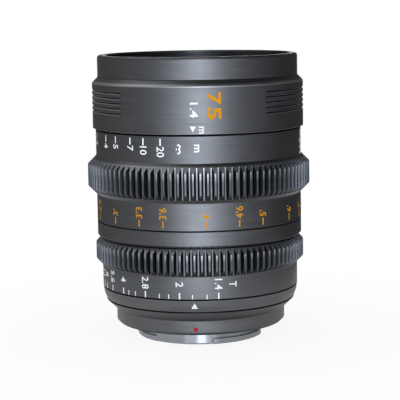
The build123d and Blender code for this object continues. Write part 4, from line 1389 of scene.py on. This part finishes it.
class LENS_OT_front_glass(Operator):
    """Front and second lens elements and the rear element"""
    bl_idname = "prime_lens.glass"
    bl_label = "Glass"

    def execute(self, context):
        for node, edge, rear_bulge, front_bulge, film in (
                ("front_lens", 6.0, -1.5, 4.4, 290.0), ("second_lens", 4.6, -1.6, 1.9, 330.0),
                ("rear_lens_back", 3.5, 0.9, 1.4, 260.0)):
            low, _, radius = reach(node)
            bottom = low + max(0, rear_bulge * MM)
            top = bottom + edge * MM
            rear = lens_arc(radius, bottom, bottom - rear_bulge * MM)
            front = lens_arc(radius, top, top + front_bulge * MM)
            rim = [(radius, bottom + 0.25 * MM), (radius, top - 0.25 * MM)]
            name = node + "_ground"
            mesh = spin(name, rear + rim + list(reversed(front)), even_turns(128))
            glass = new_material("coated_" + node, coated_glass, settings().finish.glass, film)
            settle(place(name, mesh, glass), "barrel", node)
        return {"FINISHED"}


class LENS_OT_beauty_ring(Operator):
    """Black ridged ring round the front lens"""
    bl_idname = "prime_lens.beauty_ring"
    bl_label = "Beauty ring"

    def execute(self, context):
        low, top, outer = reach("beauty_ring")
        seat = reach("front_lens")[2]
        shelf = reach("front_cell")[1] + 0.15 * MM
        lip, slope, ridges, groove = 1.0 * MM, 3.0 * MM, 9, 0.13 * MM
        inner = seat - 1.0 * MM
        side = []
        for ridge in range(ridges):
            for part, deep in ((0.0, 0.0), (0.35, 0.0), (0.5, groove), (0.85, groove)):
                at = (ridge + part) / ridges
                side.append((outer - lip - (outer - lip - inner) * at, top - slope * at - deep,
                             0.03 * MM))
        outline = [(inner, low), (seat, low), (seat, shelf), (outer, shelf), (outer, top), *side,
                   (inner, top - slope)]
        piece = turned("beauty_ring", outline, "inner_black", edge=0.06 * MM, steps=2)
        settle(piece, "barrel", "beauty_ring")
        return {"FINISHED"}


class LENS_OT_distance_dials(Operator):
    """White metre scale and orange foot scale of the focus ring"""
    bl_idname = "prime_lens.distance_dials"
    bl_label = "Distance dials"

    def execute(self, context):
        dial = settings().dial
        bottom, top, tip = reach("focus_ring")
        radius = tip - settings().focus.step
        tick = oblong(dial.tick_width, dial.tick_length)
        metres = Dial(radius)
        infinity, inverse = -7.5, 203
        for text in ("20", "10", "7", "5", "4", "3", "2.5", "2", "1.7", "1.5", "1.3", "1.2",
                     "1.1", "1", "0.9", "0.85", "0.8", "0.75"):
            degrees = infinity - inverse / float(text)
            metres.wrap(tick, degrees, top - 0.75 * MM - dial.tick_length / 2)
            metres.write(text, degrees, top - 3.5 * MM, beside=True)
        for text, degrees, height in (("\u221e", infinity, 70.7), ("m", 2.65, 70.95)):
            metres.write(text, degrees, height * MM, 2.5 * MM, 1.05, 2)
        metres.piece("metre_dial", "mark_white", "focus_ring")
        feet = Dial(radius)
        for text, degrees in (("2'6", -93.9), ("2'9", -69.7), ("3'", -49.5), ("3'3", -31.3),
                              ("3'6", -16.9), ("4'", 6.67), ("4'6", 24.7), ("5'", 39.3),
                              ("6'", 61.5), ("7'", 77.4), ("8'", 89.3), ("10'", 105.9),
                              ("15'", 128.1), ("20'", 139.2), ("30'", 150.3), ("50'", 159.2)):
            feet.wrap(tick, degrees, bottom + 0.95 * MM + dial.tick_length / 2)
            feet.write(text, degrees, bottom + 3.85 * MM, turn=1, beside=True)
        feet.piece("foot_dial", "mark_orange", "focus_ring")
        return {"FINISHED"}


class LENS_OT_stop_dial(Operator):
    """White stop scale of the iris ring"""
    bl_idname = "prime_lens.stop_dial"
    bl_label = "Stop dial"

    def execute(self, context):
        dial = settings().dial
        bottom, _, tip = reach("iris_ring")
        stops = Dial(tip - settings().iris.step)
        for text, degrees in (("1.4", 13.1), ("2", -8.9), ("2.8", -29.8), ("4", -46.8),
                              ("5.6", -58.4), ("8", -67.1), ("11", -72.9), ("16", -77.9),
                              ("22", -80.5)):
            stops.wrap(oblong(dial.tick_width, dial.tick_length - 0.25 * MM), degrees,
                       bottom - 0.025 * MM + dial.tick_length / 2)
            stops.write(text, degrees, bottom + 5.2 * MM)
        for degrees in (6.5, -1.6, -15.2, -20.8, -37.0, -42.2):
            stops.wrap(oblong(dial.minor_width, dial.minor_length), degrees,
                       bottom + 0.15 * MM + dial.minor_length / 2)
        stops.write("T", 21.3, bottom + 5.0 * MM, width=0.85)
        stops.piece("stop_dial", "mark_white", "iris_ring")
        return {"FINISHED"}


class LENS_OT_fixed_marks(Operator):
    """Figures and index marks of the fixed barrels"""
    bl_idname = "prime_lens.fixed_marks"
    bl_label = "Fixed marks"

    def execute(self, context):
        radius = reach("front_barrel")[2]
        focal = Dial(radius)
        for text, height, width in (("7", 87.75, 1.26), ("5", 82.8, 1.5)):
            focal.write(text, 11.3, height * MM, settings().dial.focal_figure, width, 2.5)
        focal.piece("focal_figures", "mark_orange", "barrel")
        front = Dial(radius)
        front.write("1.4", 0.9, 84.0 * MM, width=1.32)
        front.wrap(flat_shape((0, -0.98 * MM), (MM, 0.98 * MM), (-MM, 0.98 * MM)), 0.2,
                   77.5 * MM)
        front.write("m", 5.2, 77.25 * MM, 2.4 * MM, 1.0)
        front.piece("distance_index", "mark_white", "barrel")
        line = Dial(radius)
        line.wrap(oblong(math.radians(12.1) * radius, 0.16 * MM), 1.85, 79.3 * MM)
        line.piece("index_line", "inner_black", "barrel")
        cone = rear_cone()
        rear = Dial(cone[1][1], cone)
        rear.wrap(flat_shape((-1.15 * MM, -1.02 * MM), (1.15 * MM, -1.02 * MM), (0, 1.02 * MM)),
                  -0.55, 16.37 * MM)
        rear.piece("stop_index", "mark_white", "barrel")
        red = Dial(settings().mount.base)
        red.wrap(oblong(1.45 * MM, 1.45 * MM), -0.5, 7.1 * MM)
        red.piece("mount_index", "mark_red", "barrel")
        return {"FINISHED"}


class LENS_OT_inner_finishes(Operator):
    """Materials of the pieces that come from the frame as they are"""
    bl_idname = "prime_lens.inner_finishes"
    bl_label = "Inner finishes"

    def execute(self, context):
        slots = {part["node"]: part["material_slot"] for part in frame["record"]["subparts"]}
        for name, node in frame["nodes"].items():
            node.data.materials.clear()
            node.data.materials.append(finish_for(slots[name]))
        return {"FINISHED"}


def away(azimuth, elevation):
    """Direction from the lens at an angle from the index and a height above the horizon."""
    return Vector((math.sin(azimuth) * math.cos(elevation),
                   -math.cos(azimuth) * math.cos(elevation), math.sin(elevation)))


def away_at(azimuth, elevation):
    return away(math.radians(azimuth), math.radians(elevation))


def white_floor(wiring, position, studio):
    """White to the camera, shaded and half clear to reflections with a painted shadow round the
    lens, and clear from below.
    """
    shader = wiring.tree.nodes["Principled BSDF"].outputs[0]
    grain = wiring.one("ShaderNodeTexNoise", {"Vector": position, "Scale": 400.0})
    light = wiring.one("ShaderNodeEmission", {"Color": PLAIN_WHITE, "Strength": 1.0})
    radius = wiring.split(position)[3]
    path = wiring.add("ShaderNodeLightPath")
    whiter = wiring.spread(radius, 0.03, studio.floor_radius * 0.95, studio.floor_white, 1.0)
    # Painted shadow: near the lens, reflections see less of the plain white.
    shaded = wiring.spread(radius, studio.shade_start, studio.shade_end, studio.shade_white, 1.0)
    seen = wiring.calc("MAXIMUM", path["Is Camera Ray"],
                       wiring.times(path["Is Glossy Ray"], shaded))
    facing = wiring.one("ShaderNodeMixShader", {
        0: wiring.times(seen, whiter), 1: shader, 2: light})
    back = wiring.calc("MAXIMUM", wiring.add("ShaderNodeNewGeometry")["Backfacing"],
                       wiring.times(path["Is Glossy Ray"], studio.floor_clear))
    both = wiring.one("ShaderNodeMixShader", {
        0: back, 1: facing, 2: wiring.one("ShaderNodeBsdfTransparent")})
    wiring.feed(wiring.tree.nodes["Material Output"].inputs, {"Surface": both})
    return {"Base Color": (0.9, 0.9, 0.9, 1),
            "Roughness": wiring.spread(grain, 0.3, 0.7, 0.75, 0.85)}


class LENS_OT_stage(Operator):
    """Floor, room, soft boxes and camera"""
    bl_idname = "prime_lens.stage"
    bl_label = "Stage"

    def execute(self, context):
        studio = settings().studio
        self.floor(studio)
        self.room(studio)
        tint = studio.key_colour
        self.soft_box("key", studio.key_power, (0.26, 1.25), away_at(4, 7) * 0.95, tint)
        self.soft_box("wide", studio.wide_power, (1.1, 0.8), away_at(3, -4) * 0.97, tint)
        self.soft_box("top", studio.top_power, (0.5, 0.5), Vector((-0.45, 0.08, 0.89)) * 0.8)
        self.soft_box("front", studio.front_power, (0.25, 0.3), away_at(4, 56) * 0.9, tint)
        self.soft_box("back", studio.back_power, (0.3, 0.3), away_at(180, 8))
        self.camera(studio)
        context.scene.view_settings.view_transform = "Standard"
        return {"FINISHED"}

    def floor(self, studio):
        mesh = bpy.data.meshes.new("floor")
        shape = bmesh.new()
        bmesh.ops.create_circle(shape, cap_ends=True, radius=studio.floor_radius, segments=96)
        shape.to_mesh(mesh)
        shape.free()
        place("floor", mesh, new_material("white_floor", white_floor, studio))

    def room(self, studio):
        """White behind everything that is seen, and a dim room for the light on the lens."""
        world = bpy.data.worlds.new("room")
        bpy.context.scene.world = world
        world.use_nodes = True
        world.node_tree.nodes.clear()
        wiring = Wiring(world.node_tree)
        calc, times, spread = wiring.calc, wiring.times, wiring.spread
        path = wiring.add("ShaderNodeLightPath")
        seen = calc("MAXIMUM", path["Is Camera Ray"],
                    times(path["Is Transmission Ray"], studio.through_glass))
        x, y, z, _ = wiring.split(wiring.add("ShaderNodeTexCoord")["Generated"])
        left = spread(y, 0.1, 0.65, studio.room_left, studio.room_back_left)
        right = spread(y, -0.35, 0.1, studio.room_right, studio.room_back_right)
        dim = calc("MULTIPLY_ADD", calc("SUBTRACT", right, left), spread(x, -0.3, 0.3, 0.0, 1.0),
                   left)
        dim = times(dim, spread(z, 0.45, 0.9, 1.0, studio.room_above),
                    spread(z, -0.2, -0.04, studio.room_below, 1.0))
        dim = calc("MAXIMUM", dim, times(path["Is Diffuse Ray"], studio.room_diffuse))
        room, white = [wiring.one("ShaderNodeBackground", {
            "Color": PLAIN_WHITE, "Strength": strength}) for strength in (dim, 1.0)]
        mixed = wiring.one("ShaderNodeMixShader", {0: seen, 1: room, 2: white})
        wiring.add("ShaderNodeOutputWorld", {"Surface": mixed})

    def soft_box(self, name, watts, size, offset, tint=(1, 1, 1)):
        """Area lamp that faces the middle of the lens."""
        light = bpy.data.lights.new(name, "AREA")
        light.shape = "RECTANGLE"
        light.size, light.size_y = size
        light.energy = watts
        light.color = tint
        lamp = new_object(name, light)
        aim = Vector((0, 0, 0.05))
        lamp.location = aim + offset
        lamp.rotation_euler = (aim - lamp.location).to_track_quat("-Z", "Y").to_euler()

    def camera(self, studio):
        lens = bpy.data.cameras.new("camera")
        lens.lens = studio.focal_length
        lens.sensor_width = 36.0
        lens.shift_x = studio.shift
        lens.clip_start, lens.clip_end = 0.01, 20.0
        camera = new_object("camera", lens)
        aim = Vector((0, 0, studio.aim_height))
        camera.location = aim + away(studio.azimuth, studio.elevation) * studio.distance
        facing = (aim - camera.location).to_track_quat("-Z", "Y").to_matrix().to_4x4()
        facing = facing @ Matrix.Rotation(-studio.roll, 4, "Z")
        camera.rotation_euler = facing.to_euler()
        bpy.context.scene.camera = camera


class LENS_PT_panel(Panel):
    """Buttons for each piece, in the sidebar"""
    bl_idname = "LENS_PT_panel"
    bl_label = "Prime Lens"
    bl_space_type = "VIEW_3D"
    bl_region_type = "UI"
    bl_category = "Prime Lens"

    def draw(self, context):
        for operator in OPERATORS:
            self.layout.operator(operator.bl_idname)
        for group in PrimeLens.__annotations__:
            box = self.layout.box()
            box.label(text=group.capitalize())
            values = getattr(settings(), group)
            for name in values.__annotations__:
                box.prop(values, name)


OPERATORS = (LENS_OT_inner_finishes, LENS_OT_front_rim, LENS_OT_front_barrel,
             LENS_OT_focus_ring, LENS_OT_focus_teeth, LENS_OT_middle_barrel, LENS_OT_iris_ring,
             LENS_OT_iris_teeth, LENS_OT_index_ring, LENS_OT_mount_base, LENS_OT_bayonet,
             LENS_OT_mount_screws, LENS_OT_front_glass, LENS_OT_beauty_ring,
             LENS_OT_distance_dials, LENS_OT_stop_dial, LENS_OT_fixed_marks, LENS_OT_stage)
GROUPS = (TurningSizes, RimSizes, GripSizes, FocusGearSizes, IrisGearSizes, MountSizes,
          DialSizes, Finishes, StudioSettings, PrimeLens)
CLASSES = GROUPS + OPERATORS + (LENS_PT_panel,)


def register():
    for kind in CLASSES:
        bpy.utils.register_class(kind)
    bpy.types.Scene.prime_lens = PointerProperty(type=PrimeLens)


def unregister():
    del bpy.types.Scene.prime_lens
    for kind in reversed(CLASSES):
        bpy.utils.unregister_class(kind)


def main():
    register()
    for operator in OPERATORS:
        family, name = operator.bl_idname.split(".")
        getattr(getattr(bpy.ops, family), name)()


if __name__ == "__main__":
    main()
